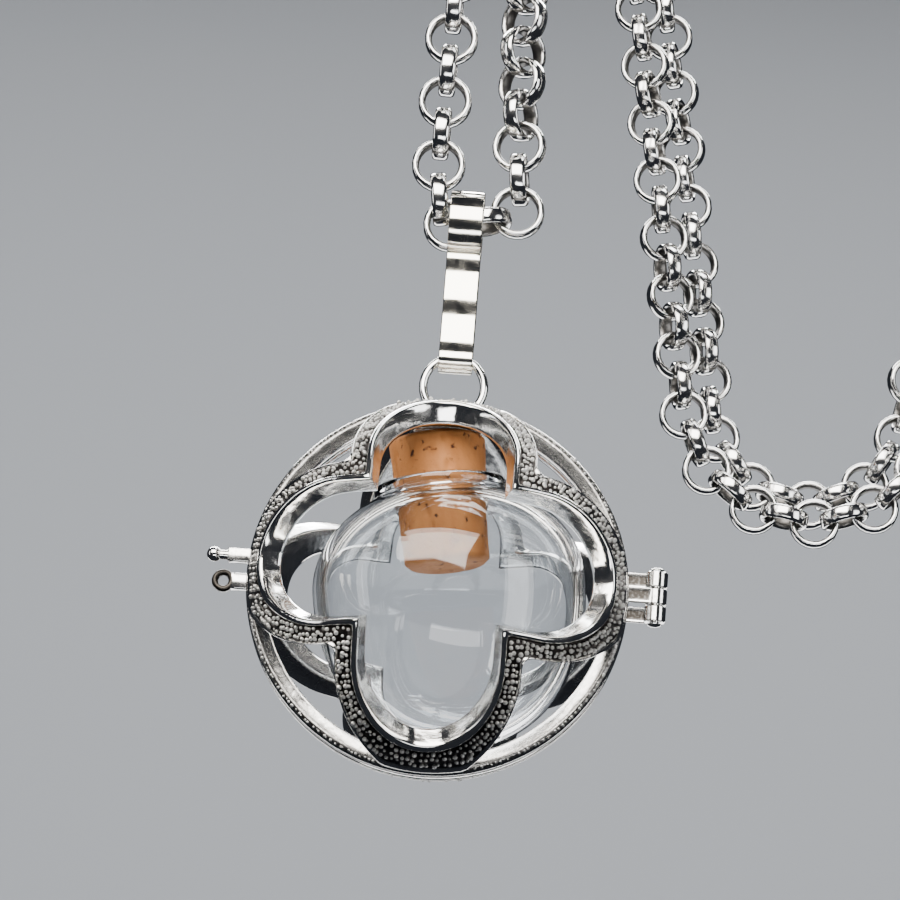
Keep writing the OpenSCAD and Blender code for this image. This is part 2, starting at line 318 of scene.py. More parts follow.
def grains(centres: Array, radii: Array) -> Surface:
    """Sets a small frosted bead at each centre.

    Args:
        centres: Rows of x, y, z.
        radii: The beads' radii.

    Returns:
        All the beads as one surface.
    """
    latitudes, longitudes, frosted = 5, 8, -0.7
    ball = sphere(np.linspace(0, math.pi, latitudes)[:, None], once_round(longitudes)[None, :]).reshape(-1, 3)
    points = centres[:, None, :] + radii[:, None, None] * ball[None]
    return copies(points, grid_quads(latitudes, longitudes, False, True), frosted)


def spaced(path: Array, step: float) -> Array:
    """Walks a closed path in equal steps.

    Args:
        path: Rows of points, the last one next to the first.
        step: Wanted distance between two points.

    Returns:
        Points on the path, evenly spaced along it.
    """
    closed = np.concatenate([path, path[:1]])
    gone = np.concatenate([[0.0], np.cumsum(np.linalg.norm(np.diff(closed, axis=0), axis=1))])
    count = round(gone[-1] / step)
    marks = np.arange(count) / count * gone[-1]
    return columns(*(np.interp(marks, gone, values) for values in closed.T))


def make_piece(name: str, surface: Surface, body: Body, finish: Material, spot: Triple,
               crease: float = 40.0) -> bpy.types.Object:
    """Turns a surface into an object that rides on a body.

    Args:
        name: The piece's name.
        surface: Its surface in millimetres.
        body: The body that it moves with.
        finish: Its material.
        spot: Where the surface's own zero lies.
        crease: Angle in degrees above which an edge stays sharp.

    Returns:
        The object.
    """
    weld = 2e-7
    hung = surface.points + np.array(spot) - np.array([0.0, DRAPE_R, DRAPE_Z])
    mesh = bpy.data.meshes.new(name)
    mesh.vertices.add(len(hung))
    mesh.vertices.foreach_set("co", (hung * MM).astype(np.float32).ravel())
    mesh.loops.add(surface.quads.size)
    mesh.loops.foreach_set("vertex_index", surface.quads.astype(np.int32).ravel())
    mesh.polygons.add(len(surface.quads))
    mesh.polygons.foreach_set("loop_start", np.arange(0, surface.quads.size, 4, dtype=np.int32))
    mesh.update(calc_edges=True)
    mark = mesh.attributes.new("recess_and_shade", "FLOAT", "POINT")
    mark.data.foreach_set("value", surface.recess_and_shade.astype(np.float32))
    shell = bmesh.new()
    shell.from_mesh(mesh)
    bmesh.ops.remove_doubles(shell, verts=shell.verts, dist=weld)
    bmesh.ops.recalc_face_normals(shell, faces=shell.faces)
    shell.to_mesh(mesh)
    shell.free()
    mesh.polygons.foreach_set("use_smooth", np.ones(len(mesh.polygons), dtype=bool))
    mesh.set_sharp_from_angle(angle=math.radians(crease))
    mesh.materials.append(finish)
    piece = bpy.data.objects.new(name, mesh)
    bpy.context.scene.collection.objects.link(piece)
    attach(piece, body.value)
    LOG.info("%s: %d faces on %s", name, len(mesh.polygons), body.value)
    return piece


# Places


@dataclass(frozen=True)
class Spot:
    """Offsets from the cage's middle on the chain's plane, in millimetres.

    Attributes:
        chain: Zero of what hangs in the chain's plane.
        locket: Zero of the locket's pieces.
    """

    chain: Triple = (0.0, 0.0, 0.0)
    locket: Triple = (0.0, SEAM_Y, 0.0)


SPOT = Spot()


# Finishes


def set_inputs(node: bpy.types.Node, values: dict[str, object]) -> None:
    """Sets a node's inputs by name."""
    for label, value in values.items():
        node.inputs[label].default_value = value


def fill(tree: Tree, socket: Socket, value: object) -> None:
    """Links a socket to another one, or sets it to a plain value.

    Args:
        tree: The socket's tree.
        socket: The socket that is fed.
        value: A socket, a number or a colour.
    """
    if isinstance(value, Socket):
        tree.links.new(value, socket)
    else:
        socket.default_value = value


def math_node(tree: Tree, operation: str, *values: object) -> Socket:
    """Adds a math node.

    Args:
        tree: The tree that it goes into.
        operation: Blender's name of the operation.
        values: Sockets or numbers.

    Returns:
        The result's socket.
    """
    node = tree.nodes.new("ShaderNodeMath")
    node.operation = operation
    for socket, value in zip(node.inputs, values):
        fill(tree, socket, value)
    return node.outputs[0]


def noise_node(tree: Tree, where: Socket, scale: float, detail: float, distortion: float = 0.0) -> Socket:
    """Adds a noise texture.

    Args:
        tree: The tree that it goes into.
        where: Coordinates that it reads.
        scale: Features to the metre.
        detail: Number of finer layers.
        distortion: How far it is bent.

    Returns:
        The factor's socket.
    """
    node = tree.nodes.new("ShaderNodeTexNoise")
    set_inputs(node, {"Scale": scale, "Detail": detail, "Distortion": distortion})
    tree.links.new(where, node.inputs["Vector"])
    return node.outputs["Fac"]


def range_node(tree: Tree, value: Socket, source: tuple[float, float], target: tuple[float, float]) -> Socket:
    """Adds a node that maps a range of values to another, held at both ends.

    Args:
        tree: The tree that it goes into.
        value: The value's socket.
        source: Range that it comes from.
        target: Range that it goes to.

    Returns:
        The result's socket.
    """
    node = tree.nodes.new("ShaderNodeMapRange")
    set_inputs(node, dict(zip(("From Min", "From Max", "To Min", "To Max"), source + target)))
    tree.links.new(value, node.inputs["Value"])
    return node.outputs["Result"]


def mix_colours(tree: Tree, share: Socket, first: object, second: object) -> Socket:
    """Mixes two colours.

    Args:
        tree: The tree that the mix goes into.
        share: Share of the second colour.
        first: A colour or a socket.
        second: A colour or a socket.

    Returns:
        The mixed colour's socket.
    """
    node = tree.nodes.new("ShaderNodeMix")
    node.data_type = "RGBA"
    tree.links.new(share, node.inputs["Factor"])
    for label, value in (("A", first), ("B", second)):
        fill(tree, [s for s in node.inputs if s.name == label and s.type == "RGBA"][0], value)
    return [s for s in node.outputs if s.type == "RGBA"][0]


def new_material(name: str) -> tuple[Material, Tree, bpy.types.Node]:
    """Starts a material.

    Args:
        name: Its name.

    Returns:
        The material, its tree and its shader.
    """
    material = bpy.data.materials.new(name)
    material.use_nodes = True
    return material, material.node_tree, material.node_tree.nodes["Principled BSDF"]


def object_coords(tree: Tree) -> Socket:
    """Adds the object's own coordinates to a tree."""
    return tree.nodes.new("ShaderNodeTexCoord").outputs["Object"]


def add_bump(tree: Tree, shader: bpy.types.Node, height: Socket, depth: float) -> None:
    """Gives a shader a bumpy surface.

    Args:
        tree: The shader's tree.
        shader: The shader.
        height: Height of the bumps, from 0 to 1.
        depth: Their depth in millimetres.
    """
    bump = tree.nodes.new("ShaderNodeBump")
    set_inputs(bump, {"Distance": depth * MM})
    tree.links.new(height, bump.inputs["Height"])
    tree.links.new(bump.outputs["Normal"], shader.inputs["Normal"])


def patina_and_shade_group() -> Tree:
    """Makes the node group that darkens a casting's grooves and breaks its shine.

    Colour is the bright metal darkened by the recess attribute and by a fine noise near it; on the snap's eye
    that darkening is painted shade.
    Roughness rises there, and also where the attribute is below 0. Height is the casting's slight
    waviness.

    Returns:
        The group.
    """
    grain_scale, smear_scale, wave_scale = 5200.0, 900.0, 480.0
    grain_share, grain_middle = 0.55, -0.27
    smear_rough, groove_rough, frost_rough = 0.09, 0.25, 0.35
    group = bpy.data.node_groups.new("groove_patina_and_shade", "ShaderNodeTree")
    sockets = {
        "OUTPUT": {"Colour": "Color", "Roughness": "Float", "Height": "Float"},
        "INPUT": {"Where": "Vector", "Bright": "Color", "Dark": "Color", "Polish": "Float", "Depth": "Float"},
    }
    for way, kinds in sockets.items():
        for label, kind in kinds.items():
            group.interface.new_socket(name=label, in_out=way, socket_type="NodeSocket" + kind)
    given = group.nodes.new("NodeGroupInput").outputs
    made = group.nodes.new("NodeGroupOutput").inputs
    attribute = group.nodes.new("ShaderNodeAttribute")
    attribute.attribute_name = "recess_and_shade"
    recess_and_shade = attribute.outputs["Fac"]
    grain = noise_node(group, given["Where"], grain_scale, 4.0)
    deep = math_node(group, "ADD", recess_and_shade, math_node(group, "MULTIPLY_ADD", grain, grain_share, grain_middle))
    deep = math_node(group, "MULTIPLY", range_node(group, deep, (0.15, 0.8), (0.0, 1.0)), given["Depth"])
    smear = noise_node(group, given["Where"], smear_scale, 5.0, 0.6)
    smear = range_node(group, smear, (0.35, 0.7), (0.0, smear_rough))
    rough = math_node(group, "ADD", given["Polish"], smear)
    rough = math_node(group, "ADD", rough, math_node(group, "MULTIPLY", deep, groove_rough))
    rough = math_node(group, "ADD", rough, range_node(group, recess_and_shade, (-1.0, 0.0), (frost_rough, 0.0)))
    group.links.new(mix_colours(group, deep, given["Bright"], given["Dark"]), made["Colour"])
    group.links.new(rough, made["Roughness"])
    group.links.new(noise_node(group, given["Where"], wave_scale, 3.0, 0.4), made["Height"])
    return group


@dataclass(frozen=True)
class PlatedMetal:
    """Bright plating over a casting or wire, dark where a groove holds old polish.

    Attributes:
        name: The material's name.
        bright: Colour of the clean plating.
        dark: Colour in the grooves, and of the painted shade on the snap's eye.
        polish: Roughness of the clean plating.
        patina: How strongly grooves and the painted shade on the snap's eye darken.
        wave: Height of the surface's waviness in millimetres.
    """

    name: str
    bright: Colour
    dark: Colour
    polish: float
    patina: float
    wave: float

    def make(self, group: Tree) -> Material:
        """Makes the material.

        Args:
            group: The groove patina's node group.

        Returns:
            The material.
        """
        material, tree, shader = new_material(self.name)
        set_inputs(shader, {"Metallic": 1.0})
        patina = tree.nodes.new("ShaderNodeGroup")
        patina.node_tree = group
        set_inputs(patina, {"Bright": self.bright, "Dark": self.dark})
        set_inputs(patina, {"Polish": self.polish, "Depth": self.patina})
        tree.links.new(object_coords(tree), patina.inputs["Where"])
        tree.links.new(patina.outputs["Colour"], shader.inputs["Base Color"])
        tree.links.new(patina.outputs["Roughness"], shader.inputs["Roughness"])
        add_bump(tree, shader, patina.outputs["Height"], self.wave)
        return material


@dataclass(frozen=True)
class BlownGlass:
    """Clear blown glass with a faint unevenness.

    Attributes:
        name: The material's name.
        tint: Colour that the glass lets through.
        index: Index of refraction.
        smear_scale: Smears to the metre.
        wave_scale: Waves in its surface to the metre.
        wave: Height of the waves in millimetres.
    """

    name: str = "clear_glass"
    tint: Colour = (0.965, 0.985, 1.0, 1.0)
    index: float = 1.47
    smear_scale: float = 260.0
    wave_scale: float = 170.0
    wave: float = 0.02

    def make(self) -> Material:
        """Makes the material: a clear shader with smears in its roughness and waves in its surface.

        Returns:
            The material.
        """
        material, tree, shader = new_material(self.name)
        set_inputs(shader, {"Base Color": self.tint, "Transmission Weight": 1.0, "IOR": self.index})
        where = object_coords(tree)
        smear = noise_node(tree, where, self.smear_scale, 4.0, 0.8)
        tree.links.new(range_node(tree, smear, (0.55, 0.8), (0.0, 0.05)), shader.inputs["Roughness"])
        add_bump(tree, shader, noise_node(tree, where, self.wave_scale, 1.0), self.wave)
        return material


@dataclass(frozen=True)
class CorkBark:
    """Plain cork: warm tan with darker grain and small dark pits.

    Attributes:
        name: The material's name.
        light: Colour of the cork's body.
        warm: Colour of its darker grain.
        pit: Colour in the pits.
        shine: Strength of its slight shine.
        stretch: Scale of the grain along x, y and z.
        grain_scale: Streaks of grain to the metre.
        speck_scale: Specks to the metre, of which the darkest are pits.
        fine_scale: Fine bumps to the metre.
        rough: Depth of the bumps in millimetres.
    """

    name: str = "cork_bark"
    light: Colour = (0.50, 0.20, 0.06, 1.0)
    warm: Colour = (0.34, 0.125, 0.034, 1.0)
    pit: Colour = (0.07, 0.025, 0.012, 1.0)
    shine: float = 0.25
    stretch: Triple = (1.0, 1.0, 0.45)
    grain_scale: float = 330.0
    speck_scale: float = 1500.0
    fine_scale: float = 2600.0
    rough: float = 0.06

    def make(self) -> Material:
        """Makes the material from a stretched noise for the grain and a finer one for the pits.

        Returns:
            The material.
        """
        material, tree, shader = new_material(self.name)
        set_inputs(shader, {"Specular IOR Level": self.shine})
        where = object_coords(tree)
        along = tree.nodes.new("ShaderNodeMapping")
        set_inputs(along, {"Scale": self.stretch})
        tree.links.new(where, along.inputs["Vector"])
        grain = noise_node(tree, along.outputs[0], self.grain_scale, 6.0, 0.8)
        grain = range_node(tree, grain, (0.38, 0.68), (0.0, 1.0))
        pits = range_node(tree, noise_node(tree, where, self.speck_scale, 3.0, 0.3), (0.62, 0.70), (0.0, 1.0))
        body = mix_colours(tree, grain, self.light, self.warm)
        tree.links.new(mix_colours(tree, pits, body, self.pit), shader.inputs["Base Color"])
        tree.links.new(range_node(tree, grain, (0.0, 1.0), (0.62, 0.85)), shader.inputs["Roughness"])
        fine = noise_node(tree, where, self.fine_scale, 4.0)
        add_bump(tree, shader, math_node(tree, "SUBTRACT", fine, pits), self.rough)
        return material


# The cage


@dataclass
class Clover:
    """The four-lobed window and the tracery round it, on the dome of one half.

    Attributes:
        lobe_r: Radius of a lobe.
        lobe_at: Distance from the axis to a lobe's middle.
        band_w: Width of the tracery.
        cage_r: Radius of the dome.
        merge_r: Farthest that the tracery's outer edge reaches from the axis.
        corner_r: Radius of the outer edge's corner between two lobes.
        bead_rows: Offset of each row of beads from the window's edge.
        bead_at: Distance of the beads from the cage's middle.
        bead_r: Radius of a bead.
        bead_sizes: Smallest and largest bead as a share of that.
        bead_step: Distance between two beads of a row.
        bead_stray: How far a bead strays from its row.
    """

    lobe_r: float = 5.03
    lobe_at: float = 7.57
    band_w: float = 1.6
    cage_r: float = 13.85
    merge_r: float = 13.8
    corner_r: float = 0.85
    bead_rows: Triple = (0.68, 0.98, 1.28)
    bead_at: float = 13.69
    bead_r: float = 0.17
    bead_sizes: tuple[float, float] = (0.6, 1.15)
    bead_step: float = 0.43
    bead_stray: float = 0.06

    def plan(self, offsets: Array, straight: int, round_steps: int) -> Array:
        """Works out the window's outline at some offsets out from its edge.

        A lobe is a straight flank at the lobe's radius plus the offset, a half circle about the
        lobe's middle and the flank back. The corner between two lobes is an arc whose radius grows
        with the offset. On the half circle the offset shrinks where the outline would pass the
        merge radius. The lobe is then turned by quarter turns.

        Args:
            offsets: Offsets out from the window's edge.
            straight: Steps along a flank.
            round_steps: Steps round a half circle.

        Returns:
            Points x, z for each station and offset, of shape stations, offsets, 2.
        """
        share = (np.arange(straight) / straight)[:, None]
        wide = (self.lobe_r + offsets)[None, :]
        fillet = self.corner_r * (offsets / self.band_w)[None, :]
        set_in = fillet * (1 - math.sqrt(0.5))
        run = set_in + share * (self.lobe_at - wide - set_in)
        bend = fillet - np.sqrt(fillet**2 - np.maximum(fillet - run, 0.0) ** 2)
        flank = wide + run - 1j * (wide + bend)
        angle = np.linspace(-math.pi / 2, math.pi / 2, round_steps + 1)[:, None]
        room = np.sqrt(self.merge_r**2 - (self.lobe_at * np.sin(angle)) ** 2)
        kept = np.minimum(1.0, (room - self.lobe_at * np.cos(angle) - self.lobe_r) / self.band_w)
        radius = self.lobe_r + offsets[None, :] * kept
        lobe = np.concatenate([flank, self.lobe_at + radius * np.exp(1j * angle), flank.conj()[:0:-1]])
        whole = np.concatenate([lobe * 1j**quarter for quarter in range(4)])
        return columns(whole.real, whole.imag)

    def on_dome(self, plan: Array, reach: Array) -> Array:
        """Lifts a plan onto the dome and pulls it along its radius.

        A point (x, z) goes to (x, -sqrt(R^2 - x^2 - z^2), z) times reach / R.

        Args:
            plan: Points x, z in the last axis.
            reach: Distance from the middle of the cage, one for each offset.

        Returns:
            Points x, y, z.
        """
        x, z = plan[..., 0], plan[..., 1]
        return columns(x, -np.sqrt(self.cage_r**2 - x**2 - z**2), z) * (reach / self.cage_r)[..., None]

    def tracery(self) -> Surface:
        """Carries the tracery's section round the window: polished wall, bright rib, groove, bed and edge.

        Returns:
            The tracery.
        """
        # Columns: offset out from the window's edge, distance from the middle, recess
        section = eased(np.array([
            [0.00, 12.10, 0.0], [0.00, 12.70, 0.0], [0.00, 13.66, 0.0], [0.06, 13.86, 0.0],
            [0.22, 13.90, 0.0], [0.38, 13.86, 0.0], [0.44, 13.60, 0.9], [0.52, 13.46, 1.0],
            [0.64, 13.46, 1.0], [0.70, 13.58, 1.0], [0.80, 13.62, 0.95], [1.10, 13.63, 0.95],
            [1.42, 13.60, 0.95], [1.46, 13.72, 0.3], [1.52, 13.86, 0.0], [1.59, 13.76, 0.1],
            [1.60, 13.40, 0.3], [1.60, 12.70, 0.4], [1.60, 12.10, 0.4], [0.80, 12.08, 0.3],
        ]), 2)
        flank_steps, lobe_steps = 9, 44
        plan = self.plan(section[:, 0], flank_steps, lobe_steps)
        return grid_surface(self.on_dome(plan, section[:, 1]), True, True, section[:, 2])

    def granulation(self, rng: np.random.Generator) -> Surface:
        """Sets rows of small uneven beads on the tracery's bed.

        Args:
            rng: Source of the unevenness.

        Returns:
            The beads.
        """
        flank_steps, lobe_steps = 30, 90
        rows = []
        for offset in self.bead_rows:
            plan = self.plan(np.array([offset]), flank_steps, lobe_steps)
            rows.append(spaced(self.on_dome(plan, np.array([self.bead_at]))[:, 0], self.bead_step))
        spots = np.concatenate(rows)
        spots = spots + rng.normal(0.0, self.bead_stray, spots.shape)
        return grains(spots, self.bead_r * rng.uniform(*self.bead_sizes, len(spots)))


@dataclass
class Rim:
    """The flat ring at a half's seam, with a worn double line round it and a milled front edge.

    Attributes:
        inner_r: Inner radius.
        outer_r: Outer radius.
        seam: Half the gap between the two rims.
        depth: Depth from the seam to the front edge.
        beads: Number of beads in the milled edge.
        bead_r: Radius of such a bead.
        bead_sizes: Smallest and largest bead as a share of that.
        bead_in: How far the beads stand in from the outer radius.
        bead_sink: How far they stand back from the front edge.
    """

    inner_r: float = 12.45
    outer_r: float = 13.85
    seam: float = 0.3
    depth: float = 1.2
    beads: int = 250
    bead_r: float = 0.13
    bead_sizes: tuple[float, float] = (0.5, 1.15)
    bead_in: float = 0.26
    bead_sink: float = 0.11

    def ring(self) -> Surface:
        """Turns the rim's section about the cage's axis.

        Returns:
            The ring.
        """
        near, far, inner, outer = self.seam, self.seam + self.depth, self.inner_r, self.outer_r
        # Columns: radius, depth from the seam's plane, recess
        section = eased(np.array([
            [inner, near, 0.3], [outer - 0.22, near, 0.4], [outer - 0.05, near + 0.03, 0.1],
            [outer, near + 0.13, 0.0], [outer, near + 0.32, 0.0], [outer - 0.11, near + 0.40, 0.9],
            [outer - 0.12, near + 0.52, 1.0], [outer - 0.01, near + 0.60, 0.1],
            [outer - 0.02, near + 0.86, 0.0], [outer - 0.13, far - 0.18, 0.5],
            [outer - 0.32, far - 0.04, 0.8], [outer - 0.50, far, 0.4],
            [inner + 0.10, far - 0.24, 0.3], [inner, far - 0.34, 0.0],
        ]), 2)
        return lathe(section[:, :2] * np.array([1.0, -1.0]), 256, "y", True, section[:, 2])

    def milling(self, rng: np.random.Generator) -> Surface:
        """Sets small uneven beads round the front edge.

        Args:
            rng: Source of the unevenness.

        Returns:
            The beads.
        """
        turn_stray, radius_stray = 0.006, 0.035
        turn = once_round(self.beads) + rng.normal(0.0, turn_stray, self.beads)
        radius = self.outer_r - self.bead_in + rng.normal(0.0, radius_stray, self.beads)
        depth = self.bead_sink - (self.seam + self.depth)
        centres = columns(radius * np.cos(turn), depth, radius * np.sin(turn))
        return grains(centres, self.bead_r * rng.uniform(*self.bead_sizes, self.beads))


@dataclass
class Hinge:
    """The three knuckles, their arms and the headed pin.

    Attributes:
        x: Distance of the axis from the cage's middle.
        z: Height of the hinge's middle.
        height: Height of a knuckle.
        gap: Gap between two knuckles.
        radius: Outer radius of a knuckle.
        bore: Radius of a knuckle's bore.
        edge: Width of a knuckle's bevel.
        pin_r: Radius of the pin.
        head_share: Radius of the pin's heads as a share of the pin's own.
        head_h: Height of the pin's heads.
        arm_root: Where the arms start in the rim.
        arm_lap: How far the arms stop short of the axis.
        seam: Half the gap between the two rims.
    """

    x: float = 15.8
    z: float = 0.6
    height: float = 1.15
    gap: float = 0.12
    radius: float = 0.8
    bore: float = 0.36
    edge: float = 0.07
    pin_r: float = 0.3
    head_share: float = 1.8
    head_h: float = 0.25
    arm_root: float = 13.2
    arm_lap: float = 0.3
    seam: float = 0.3

    def knuckle(self, step: int, side: Side) -> Surface:
        """Makes one knuckle with its arm.

        Args:
            step: Steps up from the hinge's middle.
            side: The half that it is cast with.

        Returns:
            The knuckle and the arm.
        """
        half, middle = self.height / 2, self.z + step * (self.height + self.gap)
        bevel = self.radius - self.edge
        upper = np.array([[self.radius, half - self.edge], [bevel, half], [self.bore, half]])
        section = np.concatenate([upper[::-1] * np.array([1.0, -1.0]), upper])
        barrel = lathe(section, 48, "z", True).moved((self.x, 0.0, middle))
        near, far = sorted((side.value * self.seam, side.value * self.radius))
        arm = sunk_plate((self.arm_root, near, middle - half), (self.x - self.arm_lap, far, middle + half),
                         edge=0.08, border=0.17, depth=0.1)
        return Surface.join([barrel, arm])

    def pin(self) -> Surface:
        """Turns the pin with its two domed heads.

        Returns:
            The pin.
        """
        half, head_r = 1.5 * self.height + 2 * self.gap, self.head_share * self.pin_r
        turn = np.linspace(0.0, math.pi / 2, 7)
        dome = columns(head_r * np.sin(turn), half + self.head_h * np.cos(turn))
        upper = np.concatenate([dome, [[self.pin_r, half], [self.pin_r, 0.0]]])
        lower = upper[::-1] * np.array([1.0, -1.0])
        return lathe(np.concatenate([upper, lower[1:]]), 32, "z", False).moved((self.x, 0.0, self.z))


@dataclass
class Snap:
    """The catch at the left: a tab with a ball on the front half and an eyed lug on the back half.

    Attributes:
        root: Where tab and lug start in the rim.
        near: Distance of both from the seam.
        thick: Thickness of both.
        tab_end: Where the tab ends, from the cage's middle.
        tab_z: Height of the tab's middle.
        tab_half: Half the tab's height.
        ball_at: Where the ball's middle is.
        ball_r: Radius of the ball.
        lug_at: Where the eye's middle is.
        lug_z: Height of the lug's middle.
        lug_half: Half the height of the lug's plate.
        lug_r: Outer radius of the eye.
        eye_r: Inner radius of the eye.
    """

    root: float = 13.2
    near: float = 0.35
    thick: float = 0.8
    tab_end: float = 15.2
    tab_z: float = 1.3
    tab_half: float = 0.5
    ball_at: float = 16.3
    ball_r: float = 0.55
    lug_at: float = 15.6
    lug_z: float = -0.3
    lug_half: float = 0.6
    lug_r: float = 0.85
    eye_r: float = 0.38

    def tab(self) -> Surface:
        """Makes the flat tab with its neck and ball, the ball and neck turned about the tab's line.

        Returns:
            The tab.
        """
        lap, last_turn = 0.1, 0.7
        neck_r, neck_end_r, neck_len = 0.38, 0.34, 0.42
        far = self.near + self.thick
        plate = soft_box((-self.tab_end - lap, -far, self.tab_z - self.tab_half),
                         (-self.root, -self.near, self.tab_z + self.tab_half), edge=0.1)
        turn = np.linspace(math.pi, last_turn, 14)
        ball = columns(self.ball_r * np.sin(turn), self.ball_r * np.cos(turn) - self.ball_at)
        start = -self.tab_end
        neck = np.array([[neck_end_r, start - neck_len], [neck_r, start], [0.0, start + lap]])
        knob = lathe(np.concatenate([ball, neck]), 32, "x", False)
        return Surface.join([plate, knob.moved((0.0, -(self.near + far) / 2, self.tab_z))])

    def lug(self) -> Surface:
        """Makes the lug: a turned eye and the plate that carries it.

        Returns:
            The lug.
        """
        far, plate_start = self.near + self.thick, 0.5
        # The eye's front face, towards the viewer, and its bore get a high recess: painted shade, which
        # darkens the whole eye
        # Columns: radius, depth behind the seam, recess
        outline = eased(np.array([[self.eye_r, self.near, 1.0], [self.lug_r, self.near, 0.9],
                                  [self.lug_r, far, 0.2], [self.eye_r, far, 0.9]]), 2)
        eye = lathe(outline[:, :2], 48, "y", True, outline[:, 2]).moved((-self.lug_at, 0.0, self.lug_z))
        plate = soft_box((-self.lug_at + plate_start, self.near, self.lug_z - self.lug_half),
                         (-self.root, far, self.lug_z + self.lug_half), edge=0.12)
        return Surface.join([eye, plate])


@dataclass
class Cage:
    """The two cast halves with their fittings, and the pin between them.

    Attributes:
        clover: The window and its tracery.
        rim: The ring at the seam.
        hinge: The hinge at the right.
        snap: The catch at the left.
        loop_r: Radius of the middle of the top loop's wire.
        loop_wire: Radius of that wire.
        loop_z: Height of the loop's middle.
    """

    clover: Clover = field(default_factory=Clover)
    rim: Rim = field(default_factory=Rim)
    hinge: Hinge = field(default_factory=Hinge)
    snap: Snap = field(default_factory=Snap)
    loop_r: float = 2.24
    loop_wire: float = 0.31
    loop_z: float = 15.4

    def half(self, side: Side) -> Surface:
        """Makes one half's dome, rim and beads; the back half is the front one mirrored in the seam.

        Args:
            side: Which half.

        Returns:
            The half.
        """
        seed = 11
        rng = np.random.default_rng(seed + side.value)
        whole = Surface.join(
            [self.clover.tracery(), self.clover.granulation(rng), self.rim.ring(), self.rim.milling(rng)])
        return whole if side is Side.FRONT else whole.mirrored()

    def top_loop(self) -> Surface:
        """Turns the cast loop's wire about the loop's middle."""
        wire = polar(self.loop_wire, once_round(20)) + np.array([self.loop_r, 0.0])
        return lathe(wire, 96, "y", True).moved((0.0, 0.0, self.loop_z))

    def build(self, casting: Material, wire: Material) -> None:
        """Builds and dresses every piece of the cage.

        Args:
            casting: Finish of the two halves.
            wire: Finish of the fittings.
        """
        mottle = 0.2
        front = make_piece("cage_front", self.half(Side.FRONT), Body.DOOR, casting, SPOT.locket)
        back = make_piece("cage_back", self.half(Side.BACK), Body.LOCKET, casting, SPOT.locket)
        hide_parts("front_shell")
        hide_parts("back_shell")
        tab = Surface.join([self.snap.tab(), self.hinge.knuckle(0, Side.FRONT)])
        make_piece("front_fittings", tab.worn(mottle), Body.DOOR, wire, SPOT.locket)
        knuckles = [self.hinge.knuckle(step, Side.BACK) for step in (1, -1)]
        lug = Surface.join([self.snap.lug(), *knuckles])
        make_piece("back_fittings", lug.worn(mottle), Body.LOCKET, wire, SPOT.locket)
        make_piece("top_loop", self.top_loop(), Body.LOCKET, wire, SPOT.chain)
        pin = make_piece("headed_pin", self.hinge.pin(), Body.LOCKET, wire, SPOT.locket)
        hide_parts("hinge_pin")


# The bottle


